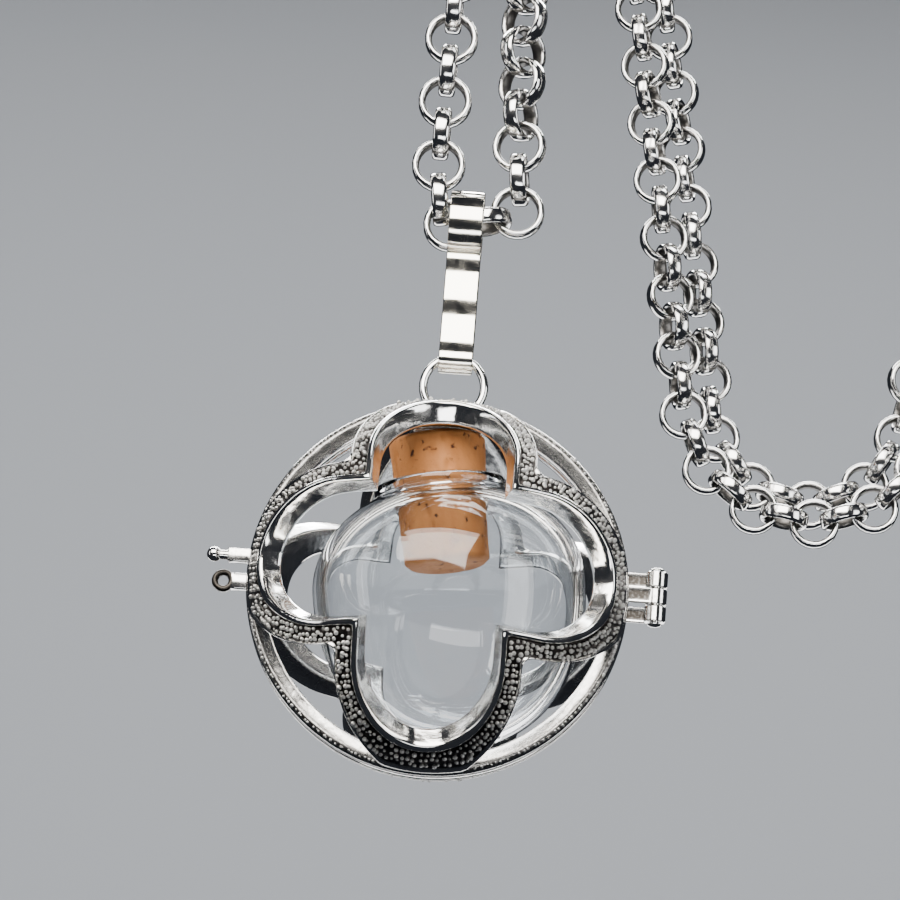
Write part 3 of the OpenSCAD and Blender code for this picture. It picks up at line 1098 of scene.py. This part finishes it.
@dataclass
class Bottle:
    """The blown globe bottle and its cork, leaning to the left in the cage.

    Attributes:
        globe_r: Widest radius.
        shoulder_h: Height of the shoulder's ellipse.
        belly_h: Depth of the lower half's curve.
        belly_power: How much squarer than an ellipse the lower half is, where 2 is an ellipse.
        foot_r: Radius of the foot.
        glass_t: Thickness of the glass.
        bore_r: Radius of the neck's bore.
        lip_r: Outer radius of the lip.
        lean: Lean to the left in degrees.
        at: Middle of the widest ring.
        cork_low: Height of the cork's lower end.
        cork_top: Height of its top.
        cork_low_r: Radius of its lower end.
        cork_top_r: Radius of its top.
        pits: Number of pits in its side.
        pit_sizes: Radii of the smallest and the largest pit.
    """

    globe_r: float = 9.9
    shoulder_h: float = 7.6
    belly_h: float = 11.9
    belly_power: float = 2.15
    foot_r: float = 2.5
    glass_t: float = 0.9
    bore_r: float = 3.45
    lip_r: float = 4.85
    lean: float = 9.0
    at: Triple = (0.8, 0.0, 0.3)
    cork_low: float = 1.6
    cork_top: float = 11.0
    cork_low_r: float = 3.12
    cork_top_r: float = 3.55
    pits: int = 70
    pit_sizes: tuple[float, float] = (0.10, 0.26)

    def leaned(self, surface: Surface) -> Surface:
        """Turns a surface about the y axis by the lean and moves it to its place in the cage.

        Args:
            surface: The surface, upright about z.

        Returns:
            The surface in its place.
        """
        cos, sin = math.cos(math.radians(self.lean)), math.sin(math.radians(self.lean))
        x, y, z = surface.points.T
        points = columns(x * cos - z * sin, y, x * sin + z * cos)
        return Surface(points, surface.quads, surface.recess_and_shade).moved(self.at)

    def half_section(self, inset: float, neck_r: float) -> Array:
        """Outlines the globe from foot to neck, with its radius R and its heights h less an inset.

        The lower half is z = -h (1 - (r / R)^p)^(1 / p). The upper half is r = R cos t, z = h sin t.

        Args:
            inset: How far inside the glass's outside the outline lies.
            neck_r: Radius at which it ends.

        Returns:
            Rows of radius and height.
        """
        wide, deep, power = self.globe_r - inset, self.belly_h - inset, self.belly_power
        radius = wide * np.cos(np.linspace(math.acos(self.foot_r / wide), 0.0, 44))
        belly = columns(radius, -deep * (1 - (radius / wide) ** power) ** (1 / power))
        turn = np.linspace(0.0, math.acos(neck_r / wide), 40)[1:]
        return np.concatenate([belly, columns(wide * np.cos(turn), (self.shoulder_h - inset) * np.sin(turn))])

    def glass(self) -> Surface:
        """Turns the wall's whole section: the outside up to the rolled lip, and the inside down again.

        Returns:
            The glass.
        """
        outer = self.half_section(0.0, self.lip_r - 0.5)
        inner = self.half_section(self.glass_t, self.bore_r)
        # Columns: radius, height
        lip = np.array([outer[-1], [self.lip_r - 0.08, 6.76], [self.lip_r, 6.98], [self.lip_r, 7.42],
                        [self.lip_r - 0.14, 7.6], [self.bore_r + 0.2, 7.6], [self.bore_r, 7.4], inner[-1]])
        # Columns: radius, height above the foot's or the floor's edge
        foot = np.array([[0.0, 0.25], [1.2, 0.14], [2.1, 0.01]]) + [0.0, outer[0, 1]]
        floor = np.array([[1.2, 0.04], [0.0, 0.08]]) + [0.0, inner[0, 1]]
        outline = np.concatenate([foot, outer[:-1], eased(lip, 3, ring=False), inner[:-1][::-1], floor])
        return self.leaned(lathe(outline, 144, "z", False))

    def cork(self) -> Surface:
        """Turns the cork and wears it: slow waves and scattered round pits in its side.

        The radius runs evenly from the lower end to the top, plus two sines of angle and height,
        less a small Gaussian dimple at each pit. The waves and pits fade out on the two ends.

        Returns:
            The cork.
        """
        seed, rows, steps, soft = 5, 70, 150, 0.28
        rng = np.random.default_rng(seed)
        pit_depth, pit_stretch, pit_dark, wear, least = 0.9, 0.6, 6.0, 0.03, 1e-6
        side_from, side_fade, low_ring, top_ring = 2.4, 0.4, 1.6, 1.8
        # Slow waves: height, times round, turn with each millimetre upwards
        waves = ((0.018, 3, 0.9), (0.012, 7, -2.3))
        side = columns(np.linspace(self.cork_low_r, self.cork_top_r, rows),
                       np.linspace(self.cork_low, self.cork_top, rows))
        low_z, top_z = self.cork_low, self.cork_top
        low = np.array([[0.0, low_z], [low_ring, low_z], [self.cork_low_r - soft, low_z]])
        top = np.array([[self.cork_top_r - soft, top_z], [top_ring, top_z], [0.0, top_z]])
        surface = lathe(np.concatenate([low, side[2:-2], top]), steps, "z", False)
        x, y, z = surface.points.T
        turn, radius = np.arctan2(y, x), np.hypot(x, y)
        wave = sum(high * np.sin(times * turn + rise * z) for high, times, rise in waves) - wear
        pit_turn = rng.uniform(-math.pi, math.pi, self.pits)
        pit_z = rng.uniform(self.cork_low, self.cork_top, self.pits)
        pit_size = rng.uniform(*self.pit_sizes, self.pits)
        aside = (turn[:, None] - pit_turn + math.pi) % FULL_TURN - math.pi
        away = (aside * self.cork_top_r) ** 2 + ((z[:, None] - pit_z) * pit_stretch) ** 2
        pits = (pit_depth * pit_size * np.exp(-away / pit_size**2)).max(axis=1)
        on_side = np.clip((radius - side_from) / side_fade, 0.0, 1.0)
        kept = (radius + on_side * (wave - pits)) / np.maximum(radius, least)
        recess_and_shade = np.clip(pits * pit_dark, 0.0, 1.0) * on_side
        return self.leaned(Surface(columns(x * kept, y * kept, z), surface.quads, recess_and_shade))

    def build(self, glass: Material, bark: Material) -> None:
        """Builds and dresses the bottle and the cork.

        Args:
            glass: Finish of the bottle.
            bark: Finish of the cork.
        """
        globe = make_piece("globe_bottle", self.glass(), Body.LOCKET, glass, SPOT.locket, 60.0)
        plug = make_piece("cork_plug", self.cork(), Body.LOCKET, bark, SPOT.locket, 50.0)
        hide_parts("bottle")
        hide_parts("cork")


# The bail


@dataclass
class BailStrip:
    """The folded strip that hangs the locket from the chain.

    Attributes:
        width: Width of the strip.
        thick: Thickness of the strip.
        edge: Size of its section's soft corners.
        eye_r: Inner radius of the upper eye.
        eye_z: Height of the eye's axis.
        fold_r: Inner radius of the lower fold.
        fold_z: Height of the fold's axis.
        ripple: Height of the slight ripples that the folding leaves in the legs.
        ripple_len: Length of a ripple.
        ripple_start: Where in a ripple the zero of height lies, as an angle.
        ripple_fade: Length over which the ripples fade in at a leg's ends.
    """

    width: float = 2.5
    thick: float = 0.4
    edge: float = 0.09
    eye_r: float = 2.25
    eye_z: float = 27.8
    fold_r: float = 0.65
    fold_z: float = 17.46
    ripple: float = 0.078
    ripple_len: float = 3.3
    ripple_start: float = -2.75
    ripple_fade: float = 0.5

    def path(self) -> Array:
        """Follows the middle of the strip: round the eye, down a leg, round the fold and up again.

        Returns:
            Rows of y and z.
        """
        eye, fold = self.eye_r + self.thick / 2, self.fold_r + self.thick / 2
        split = math.asin(fold / eye)
        over = np.linspace(split - math.pi / 2, 1.5 * math.pi - split, 90)
        under = np.linspace(math.pi, 2 * math.pi, 26)
        down = np.linspace(self.eye_z - eye * math.cos(split), self.fold_z, 40)[1:-1]
        return eased(np.concatenate([
            polar(eye, over) + [0.0, self.eye_z], columns(-fold, down),
            polar(fold, under) + [0.0, self.fold_z], columns(fold, down[::-1]),
        ]), 1)

    def strip(self) -> Surface:
        """Carries the strip's section, a flat bar with soft edges, along its path.

        A point is the path, plus the path's normal times the section's thickness, with a slow sine
        along the path as ripple, plus x times the section's width.

        Returns:
            The strip.
        """
        path = self.path()
        ahead = unit(np.roll(path, -1, axis=0) - np.roll(path, 1, axis=0))
        normal = columns(ahead[:, 1], -ahead[:, 0])
        half_w, half_t, edge = self.width / 2, self.thick / 2, self.edge
        upper = np.array([[half_w, half_t - edge], [half_w - edge, half_t], [0.0, half_t],
                          [edge - half_w, half_t], [-half_w, half_t - edge]])
        section = eased(np.concatenate([upper, -upper]), 1)
        height = path[:, 1]
        on_leg = np.clip((self.eye_z - self.eye_r - height) / self.ripple_fade, 0, 1)
        on_leg *= np.clip((height - self.fold_z) / self.ripple_fade, 0, 1)
        lift = self.ripple * np.sin(height * FULL_TURN / self.ripple_len + self.ripple_start) * on_leg
        off = section[None, :, 1] + lift[:, None]
        yz = path[:, None] + normal[:, None] * off[..., None]
        return grid_surface(columns(section[None, :, 0], yz[..., 0], yz[..., 1]), True, True)

    def build(self, finish: Material) -> None:
        """Builds and dresses the bail."""
        strip = make_piece("bail_strip", self.strip(), Body.BAIL, finish, SPOT.chain)
        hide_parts("bail")


# The chain


FRONT = np.array([0.0, -1.0, 0.0])
REAR = np.array([0.0, 1.0, 0.0])


@dataclass(frozen=True)
class Stretch:
    """One stretch of the chain's route.

    Attributes:
        length: Length along the chain.
        point: Gives the point at a distance along the stretch.
        face: Gives the direction that a flat link's axis points there.
        kind: What the stretch does.
    """

    length: float
    point: Callable[[float], Array]
    face: Callable[[float], Array]
    kind: Course


def in_plane(x: float, z: float) -> Array:
    """Gives a point in the plane y = 0."""
    return np.array([x, 0.0, z])


def band_section(upper: Array) -> Array:
    """Completes a band's section from its upper half.

    Args:
        upper: Rows of radius, height and any mark, from the inner side to the outer one.

    Returns:
        The whole section, which starts at the inner side's lower edge.
    """
    mirror = np.ones(upper.shape[1])
    mirror[1] = -1.0
    return np.roll(np.concatenate([upper, upper[::-1] * mirror]), 1, axis=0)


def straight(start: Array, end: Array, face: Array) -> Stretch:
    """Makes a straight stretch from one point to another."""
    length = float(np.linalg.norm(end - start))
    return Stretch(length, lambda s: start + (end - start) * s / length, lambda s: face, Course.LINE)


def over_bar(start_x: float, end_x: float, radius: float, to_rear: bool) -> Stretch:
    """Makes a half turn over the bar: y = r (1 - cos a), z = the bar's height + r sin a, while x runs evenly.

    Args:
        start_x: Sideways place at its start.
        end_x: Sideways place at its end.
        radius: Radius of the half turn.
        to_rear: Whether it runs from the front to the rear, or back.

    Returns:
        The stretch.
    """
    length = math.hypot(math.pi * radius, end_x - start_x)

    def angle(s: float) -> float:
        """Gives the angle over the bar, from the front, at a distance."""
        return math.pi * (s / length if to_rear else 1 - s / length)

    def point(s: float) -> Array:
        """Gives the point at a distance."""
        return np.array([start_x + (end_x - start_x) * s / length, radius * (1 - math.cos(angle(s))),
                         DRAPE_Z + radius * math.sin(angle(s))])

    def face(s: float) -> Array:
        """Gives the direction away from the bar at a distance."""
        return np.array([0.0, -math.cos(angle(s)), math.sin(angle(s))])

    return Stretch(length, point, face, Course.OVER)


def turn(middle: Array, radius: float, start: float, end: float, face: Array) -> Stretch:
    """Makes an upright arc round a middle: x = r cos a, z = r sin a, between two angles in degrees.

    Args:
        middle: The arc's middle.
        radius: Its radius.
        start: Angle at its start.
        end: Angle at its end.
        face: Direction of a flat link's axis.

    Returns:
        The stretch.
    """
    way = math.copysign(1.0, end - start)

    def point(s: float) -> Array:
        """Gives the point at a distance."""
        angle = math.radians(start) + way * s / radius
        return middle + radius * in_plane(math.cos(angle), math.sin(angle))

    return Stretch(math.radians(abs(end - start)) * radius, point, lambda s: face, Course.TURN)


@dataclass
class Chain:
    """The belcher chain, draped double over the bar, and its clasp.

    Attributes:
        link_r: Outer radius of a link.
        link_t: Thickness of a link's band.
        link_w: Width of a link's band.
        wanted_pitch: Wanted distance between the middles of two links.
        clasp_len: Distance between the clasp's two holes.
        clasp_drop: Least length of chain above the clasp on its strand.
        clasp_stretch: Number of the stretch that it hangs in, the first straight one at the far right.
        eye_z: Height of the axis of the bail's eye.
        rear_lean: Lean of the rear strands in degrees.
        rear_turn_r: Mean radius of the two rear turns.
        rear_half: Half the sideways distance between the two rear strands.
        over_step: How far the tight loop passes outside the wide one, over the bar and behind it.
        rear_x: Sideways place of the rear turns' middle.
        rear_z: Its height.
        front_x: Sideways place of the middle of the front turn at the right.
        front_z: Its height.
        front_turn_r: Radius of that turn.
        left_low: Lower end of the left strand, as x and the height above the eye's axis.
        right_low: Lower end of the right strand, in the same way.
        left_top_x: Where the left strand reaches the bar.
        right_top_x: Where the right strand does.
        sway: Largest twist of the rear strands in degrees.
        front_twist: Largest twist of the right front strand in degrees.
        low_twist: Its twist at its lower end.
        twist_rise: How much that twist grows with each millimetre.
        eye_links: Links round the bail's eye: x, height above its axis, turn from level, edge on, twist.
    """

    link_r: float = 2.0
    link_t: float = 0.5
    link_w: float = 1.2
    wanted_pitch: float = 2.5
    clasp_len: float = 8.0
    clasp_drop: float = 3.0
    clasp_stretch: int = 6
    eye_z: float = 27.8
    rear_lean: float = 9.6
    rear_turn_r: float = 9.1
    rear_half: float = 1.3
    over_step: float = 2.2
    rear_x: float = 28.2
    rear_z: float = 24.8
    front_x: float = 43.5
    front_z: float = 30.0
    front_turn_r: float = 5.0
    left_low: tuple[float, float] = (-2.4, 4.62)
    right_low: tuple[float, float] = (3.5, 6.5)
    left_top_x: float = -1.9
    right_top_x: float = 2.7
    sway: float = 20.0
    front_twist: float = 45.0
    low_twist: float = 12.0
    twist_rise: float = 6.0
    eye_links: tuple[tuple[float, ...], ...] = (
        (-1.19, 0.0, 0.0, 0.0, 0.0),
        (-2.13, 1.98, 98.0, 1.0, 0.0),
        (1.37, 0.46, 13.0, 1.0, 0.0),
        (3.73, 1.37, 30.0, 0.0, 0.0),
        (3.68, 3.94, 95.0, 1.0, -6.0),
    )

    def __post_init__(self) -> None:
        """Works out the route, the pitch that fits it and the edge-on link before the clasp."""
        self.mid_r = self.link_r - self.link_t / 2
        self.clasp_span = self.clasp_len + 2 * self.mid_r
        self.route = self.lay_route()
        self.starts = np.cumsum([0.0] + [stretch.length for stretch in self.route])
        self.steps = 2 * round((self.starts[-1] - self.clasp_span) / (2 * self.wanted_pitch))
        self.pitch = (self.starts[-1] - self.clasp_span) / self.steps
        clasp_from = self.starts[self.clasp_stretch] + self.clasp_drop
        self.before_clasp = 2 * math.ceil(clasp_from / self.pitch / 2) + 1

    def rear_ends(self, radius: float, mirrored: bool) -> tuple[Array, Array]:
        """Gives a rear strand's ends, at the bar and at its turn, as if it hung in the plane y = 0.

        Args:
            radius: Radius of the turn.
            mirrored: Whether it is the strand at the turn's right.

        Returns:
            The upper end and the lower end.
        """
        lean = math.radians(self.rear_lean)
        low_x, low_z = self.rear_x - radius * math.cos(lean), self.rear_z - radius * math.sin(lean)
        ends = ((low_x - (DRAPE_Z - low_z) * math.tan(lean), DRAPE_Z), (low_x, low_z))
        top, low = (in_plane(2 * self.rear_x - x if mirrored else x, z) for x, z in ends)
        return top, low

    def rear_loop(self, radius: float, over_r: float, rightward: bool) -> list[Stretch]:
        """Lays a rear loop: down a strand, round its turn and up the other strand.

        Args:
            radius: Radius of the turn.
            over_r: Radius at which it passes over the bar.
            rightward: Whether it runs from left to right.

        Returns:
            Its three stretches.
        """
        behind = np.array([0.0, 2 * over_r, 0.0])
        ends = (180 + self.rear_lean, 360 - self.rear_lean)
        start, end = ends if rightward else ends[::-1]
        down_top, down_low = self.rear_ends(radius, not rightward)
        up_top, up_low = self.rear_ends(radius, rightward)
        return [
            straight(behind + down_top, behind + down_low, REAR),
            turn(behind + in_plane(self.rear_x, self.rear_z), radius, start, end, REAR),
            straight(behind + up_low, behind + up_top, REAR),
        ]

    def lay_route(self) -> list[Stretch]:
        """Lays the route from the left strand at the eye, four times over the bar, to the right strand.

        Returns:
            The stretches in order.
        """
        wide, tight = self.rear_turn_r + self.rear_half, self.rear_turn_r - self.rear_half
        wide_left, wide_right, tight_left, tight_right = (
            self.rear_ends(radius, mirrored)[0][0] for radius in (wide, tight) for mirrored in (False, True))
        tight_over = DRAPE_R + self.over_step
        out_x, in_x = self.front_x + self.front_turn_r, self.front_x - self.front_turn_r
        left_low, right_low = (in_plane(x, self.eye_z + up) for x, up in (self.left_low, self.right_low))
        return [
            straight(left_low, in_plane(self.left_top_x, DRAPE_Z), FRONT),
            over_bar(self.left_top_x, wide_left, DRAPE_R, True),
            *self.rear_loop(wide, DRAPE_R, True),
            over_bar(wide_right, out_x, DRAPE_R, False),
            straight(in_plane(out_x, DRAPE_Z), in_plane(out_x, self.front_z), FRONT),
            turn(in_plane(self.front_x, self.front_z), self.front_turn_r, 360, 180, FRONT),
            straight(in_plane(in_x, self.front_z), in_plane(in_x, DRAPE_Z), FRONT),
            over_bar(in_x, tight_right, tight_over, True),
            *self.rear_loop(tight, tight_over, False),
            over_bar(tight_left, self.right_top_x, tight_over, False),
            straight(in_plane(self.right_top_x, DRAPE_Z), right_low, FRONT),
        ]

    def stretch_at(self, s: float) -> int:
        """Finds the number of the stretch at a distance along the route."""
        slack = 0.001
        return min(int(np.searchsorted(self.starts, s + slack, side="right")) - 1, len(self.route) - 1)

    def along(self, i: int) -> float:
        """Gives a link's distance along the route, where the clasp takes the place of some links."""
        return i * self.pitch if i <= self.before_clasp else (i - 1) * self.pitch + self.clasp_span

    def edge_on(self, i: int) -> int:
        """Tells whether a link stands edge on, 1, or flat, 0."""
        return i % 2 if i <= self.before_clasp else (i + 1) % 2

    def on_route(self, s: float) -> Array:
        """Gives the route's point at a distance."""
        k = self.stretch_at(s)
        return self.route[k].point(s - self.starts[k])

    def link_point(self, i: int) -> Array:
        """Gives a link's middle; an edge-on link in a turn lies straight between its two neighbours.

        Args:
            i: Number of the link.

        Returns:
            The middle.
        """
        s = self.along(i)
        if self.route[self.stretch_at(s)].kind is Course.TURN and self.edge_on(i):
            return (self.on_route(self.along(i - 1)) + self.on_route(self.along(i + 1))) / 2
        return self.on_route(s)

    def ahead(self, i: int) -> Array:
        """Gives the chain's direction at a link, from its neighbours, or straight down beside the clasp.

        Args:
            i: Number of the link.

        Returns:
            The direction, of any length.
        """
        if i in (self.before_clasp, self.before_clasp + 1):
            return in_plane(0.0, -1.0)
        before, after = max(0, i - 1), min(self.steps + 1, i + 1)
        return self.on_route(self.along(after)) - self.on_route(self.along(before))

    def twist_at(self, s: float) -> float:
        """Gives the strand's slow twist about its own line in degrees, none where it turns.

        Args:
            s: Distance along the route.

        Returns:
            The twist.
        """
        k = self.stretch_at(s)
        share = (s - self.starts[k]) / self.route[k].length
        if k == len(self.route) - 2:
            return self.front_twist * share
        if k == len(self.route) - 1:
            return min(self.front_twist, self.low_twist + self.twist_rise * (self.starts[-1] - s))
        at_rear = self.route[k].kind is Course.LINE and self.route[k].face(0.0) is REAR
        return self.sway * math.sin(FULL_TURN * share) if at_rear else 0.0

    def places(self) -> tuple[Array, Array]:
        """Works out every link's middle and axis.

        A link's axis is its face n made square to the chain's direction t and turned by a twist w:
        n cos w + (t x n) sin w. An edge-on link is twisted by a further quarter turn.

        Returns:
            Rows of middles and rows of unit axes.
        """
        spots, ways, faces, twists = [], [], [], []
        for x, up, level, on_edge, twist in self.eye_links:
            spots.append(in_plane(x, self.eye_z + up))
            ways.append(in_plane(math.cos(math.radians(level)), math.sin(math.radians(level))))
            faces.append(FRONT)
            twists.append(twist + 90 * on_edge)
        for i in range(self.steps + 2):
            s, k = self.along(i), self.stretch_at(self.along(i))
            spots.append(self.link_point(i))
            ways.append(self.ahead(i))
            faces.append(self.route[k].face(s - self.starts[k]))
            twists.append(self.twist_at(s) + 90 * self.edge_on(i))
        t = unit(np.array(ways))
        n = unit(np.array(faces) - t * (np.array(faces) * t).sum(axis=1)[:, None])
        w = np.radians(twists)[:, None]
        return np.array(spots), n * np.cos(w) + np.cross(t, n) * np.sin(w)

    def links(self) -> Surface:
        """Turns a link's section about every link's axis a: a point is c + r (u cos t + v sin t) + h a.

        The section is a flattened round wire, u and v are square to a, and t runs round the link.

        Returns:
            All the links as one surface.
        """
        inner, outer, half, around = self.link_r - self.link_t, self.link_r, self.link_w / 2, 24
        # Columns: radius, height along the axis, recess
        section = band_section(np.array([
            [inner, 0.5 * half, 1.0], [inner + 0.09, 0.87 * half, 0.5], [outer - 0.25, half, 0.0],
            [outer - 0.09, 0.9 * half, 0.2], [outer, 0.55 * half, 0.0],
        ]))
        middle, axis = self.places()
        steep = 0.9
        helper = np.where(np.abs(axis[:, 2:]) < steep, in_plane(0.0, 1.0), in_plane(1.0, 0.0))
        u = unit(np.cross(axis, helper))
        v = np.cross(axis, u)
        angle = once_round(around)[None, :, None]
        spoke = u[:, None] * np.cos(angle) + v[:, None] * np.sin(angle)
        points = (middle[:, None, None] + spoke[:, :, None] * section[None, None, :, :1]
                  + axis[:, None, None] * section[None, None, :, 1:2])
        ring = grid_quads(around, len(section), True, True)
        return copies(points.reshape(len(middle), -1, 3), ring, np.tile(section[:, 2], around))

    def clasp(self) -> Surface:
        """Makes the closed hook: two turned eyes, a small one above and a large one below, and a stem.

        Returns:
            The hook.
        """
        thick, soft = 0.6, 0.18
        stem_half, stem_top, stem_foot = 0.95, -1.1, 1.5 - self.clasp_len
        parts = []
        # Columns: inner radius, outer radius, height
        for inner, outer, low in ((0.85, 1.5, 0.0), (1.15, 2.05, -self.clasp_len)):
            outline = eased(band_section(np.array([[inner, thick - soft], [inner + soft, thick],
                                                   [outer - soft, thick], [outer, thick - soft]])), 1)
            parts.append(lathe(outline, 64, "y", True).moved((0.0, 0.0, low)))
        parts.append(soft_box((-stem_half, -thick, stem_foot), (stem_half, thick, stem_top), edge=0.2))
        top = self.on_route(self.along(self.before_clasp))[2] - self.mid_r
        return Surface.join(parts).moved((self.front_x + self.front_turn_r, 0.0, top))

    def build(self, plating: Material) -> None:
        """Builds and dresses the chain and its clasp.

        Args:
            plating: Finish of both.
        """
        chain = make_piece("chain_links", self.links(), Body.NECKLACE, plating, SPOT.chain, 60.0)
        clasp = make_piece("closed_hook", self.clasp(), Body.NECKLACE, plating, SPOT.chain)
        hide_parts("chain")
        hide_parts("clasp")


# The studio


@dataclass(frozen=True)
class Softbox:
    """One rectangular studio light or reflector panel.

    Attributes:
        name: Its name.
        place: Its middle from the locket's, in metres.
        size: Its width and height in metres.
        power: Watts of light.
        colour: Colour of its light.
    """

    name: str
    place: Triple
    size: tuple[float, float]
    power: float
    colour: Triple = (1.0, 1.0, 1.0)

    def build(self, target: Vector) -> None:
        """Hangs the light and turns it to the target.

        Args:
            target: The point that it faces, in metres.
        """
        light = bpy.data.lights.new(self.name, "AREA")
        light.shape = "RECTANGLE"
        light.size, light.size_y = self.size
        light.energy = self.power
        light.color = self.colour
        lamp = bpy.data.objects.new(self.name, light)
        lamp.location = target + Vector(self.place)
        lamp.rotation_euler = (-Vector(self.place)).to_track_quat("-Z", "Y").to_euler()
        bpy.context.scene.collection.objects.link(lamp)


@dataclass
class Studio:
    """Floor, backdrop, lights and camera, in metres and degrees.

    Attributes:
        target: The locket's middle in the necklace's frame.
        boxes: The lights.
        floor_z: Height of the floor.
        wall_y: Distance of the backdrop.
        wall_top: Height of its top.
        bend: Radius of the bend between them.
        near: How far the floor reaches towards the viewer.
        half_wide: Half the width of floor and backdrop.
        azimuth: The camera's place round the locket, from the front to the right.
        elevation: Its height as an angle.
        roll: Its tilt to one side.
        distance: Its distance from the locket.
        lens: Its focal length in millimetres.
        picture: Width of the picture in pixels.
        locket_at: How far right of and below the picture's middle the locket's lies, in pixels.
    """

    target: Vector = field(default_factory=lambda: Vector((0.0, (SEAM_Y - DRAPE_R) * MM, -DRAPE_Z * MM)))
    boxes: tuple[Softbox, ...] = (
        Softbox("key_window", (-0.10, -0.36, 0.235), (0.50, 0.34), 6.4, (1.0, 0.96, 0.90)),
        Softbox("right_panel", (0.37, -0.20, 0.02), (0.18, 0.26), 0.75),
        Softbox("left_panel", (-0.42, -0.08, 0.05), (0.05, 0.30), 0.25),
        Softbox("overhead", (0.04, 0.06, 0.45), (0.34, 0.10), 1.4),
        Softbox("low_panel", (0.04, -0.33, -0.20), (0.30, 0.07), 0.5),
        Softbox("under_card", (0.0, 0.30, -0.075), (0.50, 0.07), 0.45),
        Softbox("backdrop_wash", (0.0, 0.85, 0.95), (1.6, 0.20), 36.0),
    )
    floor_z: float = -0.21
    wall_y: float = 1.25
    wall_top: float = 1.10
    bend: float = 0.30
    near: float = 0.30
    half_wide: float = 1.20
    azimuth: float = 1.5
    elevation: float = -12.5
    roll: float = 4.5
    distance: float = 0.29
    lens: float = 160.0
    picture: float = 900.0
    locket_at: tuple[float, float] = (-12.5, 140.0)

    def sweep(self) -> None:
        """Makes the pale floor and backdrop: a line, an arc and a line, carried sideways."""
        bend = polar(self.bend, np.linspace(-math.pi / 2, 0.0, 24))
        bend = bend + np.array([self.wall_y - self.bend, self.floor_z + self.bend])
        profile = np.concatenate([[[-self.near, self.floor_z]], bend, [[self.wall_y, self.wall_top]]])
        points = columns(np.array([[-self.half_wide, self.half_wide]]), profile[:, :1], profile[:, 1:])
        mesh = bpy.data.meshes.new("studio_sweep")
        faces = grid_quads(len(profile), 2, False, False)
        mesh.from_pydata(points.reshape(-1, 3).tolist(), [], faces.tolist())
        mesh.polygons.foreach_set("use_smooth", np.ones(len(mesh.polygons), dtype=bool))
        paper, _, shader = new_material("pale_paper")
        set_inputs(shader, {"Base Color": (0.48, 0.50, 0.53, 1.0), "Roughness": 0.9})
        mesh.materials.append(paper)
        floor = bpy.data.objects.new("studio_sweep", mesh)
        bpy.context.scene.collection.objects.link(floor)
        floor.visible_glossy = False

    def world(self) -> None:
        """Sets the room: dim where the metal mirrors it, pale where the camera sees it beside the floor."""
        room = bpy.data.worlds.new("studio_air")
        room.use_nodes = True
        tree = room.node_tree
        dim, leave = tree.nodes["Background"], tree.nodes["World Output"]
        set_inputs(dim, {"Color": (0.72, 0.80, 1.0, 1.0), "Strength": 0.03})
        pale = tree.nodes.new("ShaderNodeBackground")
        set_inputs(pale, {"Color": (0.56, 0.58, 0.62, 1.0)})
        seen = tree.nodes.new("ShaderNodeLightPath").outputs["Is Camera Ray"]
        mix = tree.nodes.new("ShaderNodeMixShader")
        for socket, source in zip(mix.inputs, (seen, dim.outputs[0], pale.outputs[0])):
            tree.links.new(source, socket)
        tree.links.new(mix.outputs[0], leave.inputs["Surface"])
        bpy.context.scene.world = room

    def camera(self) -> None:
        """Sets the camera at the photograph's angle, from below and a little to the right.

        The camera looks along a line found by adding to the line to the locket the right and up
        shares that bring the locket's middle to its place in the picture, and is rolled.
        """
        azimuth, elevation, roll = (math.radians(a) for a in (self.azimuth, self.elevation, self.roll))
        sensor = 36.0
        aside = Vector((math.sin(azimuth) * math.cos(elevation), -math.cos(azimuth) * math.cos(elevation),
                        math.sin(elevation)))
        right = (-aside).cross(Vector((0.0, 0.0, 1.0))).normalized()
        up = right.cross(-aside)
        cos, sin = math.cos(roll), math.sin(roll)
        right, up = right * cos + up * sin, up * cos - right * sin
        off_x, off_y = (offset * sensor / (self.lens * self.picture) for offset in self.locket_at)
        look = (up * off_y - aside - right * off_x).normalized()
        right = (right - look * right.dot(look)).normalized()
        lens_data = bpy.data.cameras.new("portrait")
        lens_data.lens, lens_data.sensor_width = self.lens, sensor
        lens_data.clip_start, lens_data.clip_end = 0.01, 10.0
        camera = bpy.data.objects.new("portrait", lens_data)
        camera.matrix_world = Matrix.Translation(self.target + aside * self.distance) @ Matrix(
            (right, right.cross(look), -look)).transposed().to_4x4()
        bpy.context.scene.collection.objects.link(camera)
        bpy.context.scene.camera = camera

    def build(self) -> None:
        """Builds the whole studio."""
        self.sweep()
        self.world()
        for box in self.boxes:
            box.build(self.target)
        self.camera()
        LOG.info("studio: %d lights", len(self.boxes))


def main() -> None:
    """Builds the finishes, the pieces in the order in which they are put together, and the studio."""
    logging.basicConfig(level=logging.INFO, format="%(name)s: %(message)s")
    patina = patina_and_shade_group()
    # Dark of the wire and the links: tarnish in their hollows, and painted shade on the snap's eye
    tarnish_and_shade = (0.05, 0.045, 0.04, 1.0)
    casting = PlatedMetal("aged_casting", (0.82, 0.81, 0.79, 1.0), (0.045, 0.04, 0.038, 1.0), 0.09, 1.0, 0.07)
    wire = PlatedMetal("bright_wire", (0.86, 0.855, 0.84, 1.0), tarnish_and_shade, 0.08, 1.0, 0.01)
    strip = PlatedMetal("ivory_strip", (0.90, 0.87, 0.78, 1.0), (0.08, 0.07, 0.06, 1.0), 0.07, 0.3, 0.008)
    links = PlatedMetal("belcher_plating", (0.80, 0.795, 0.785, 1.0), tarnish_and_shade, 0.10, 0.9, 0.01)
    Cage().build(casting.make(patina), wire.make(patina))
    Bottle().build(BlownGlass().make(), CorkBark().make())
    BailStrip().build(strip.make(patina))
    Chain().build(links.make(patina))
    Studio().build()


if __name__ == "__main__":
    main()
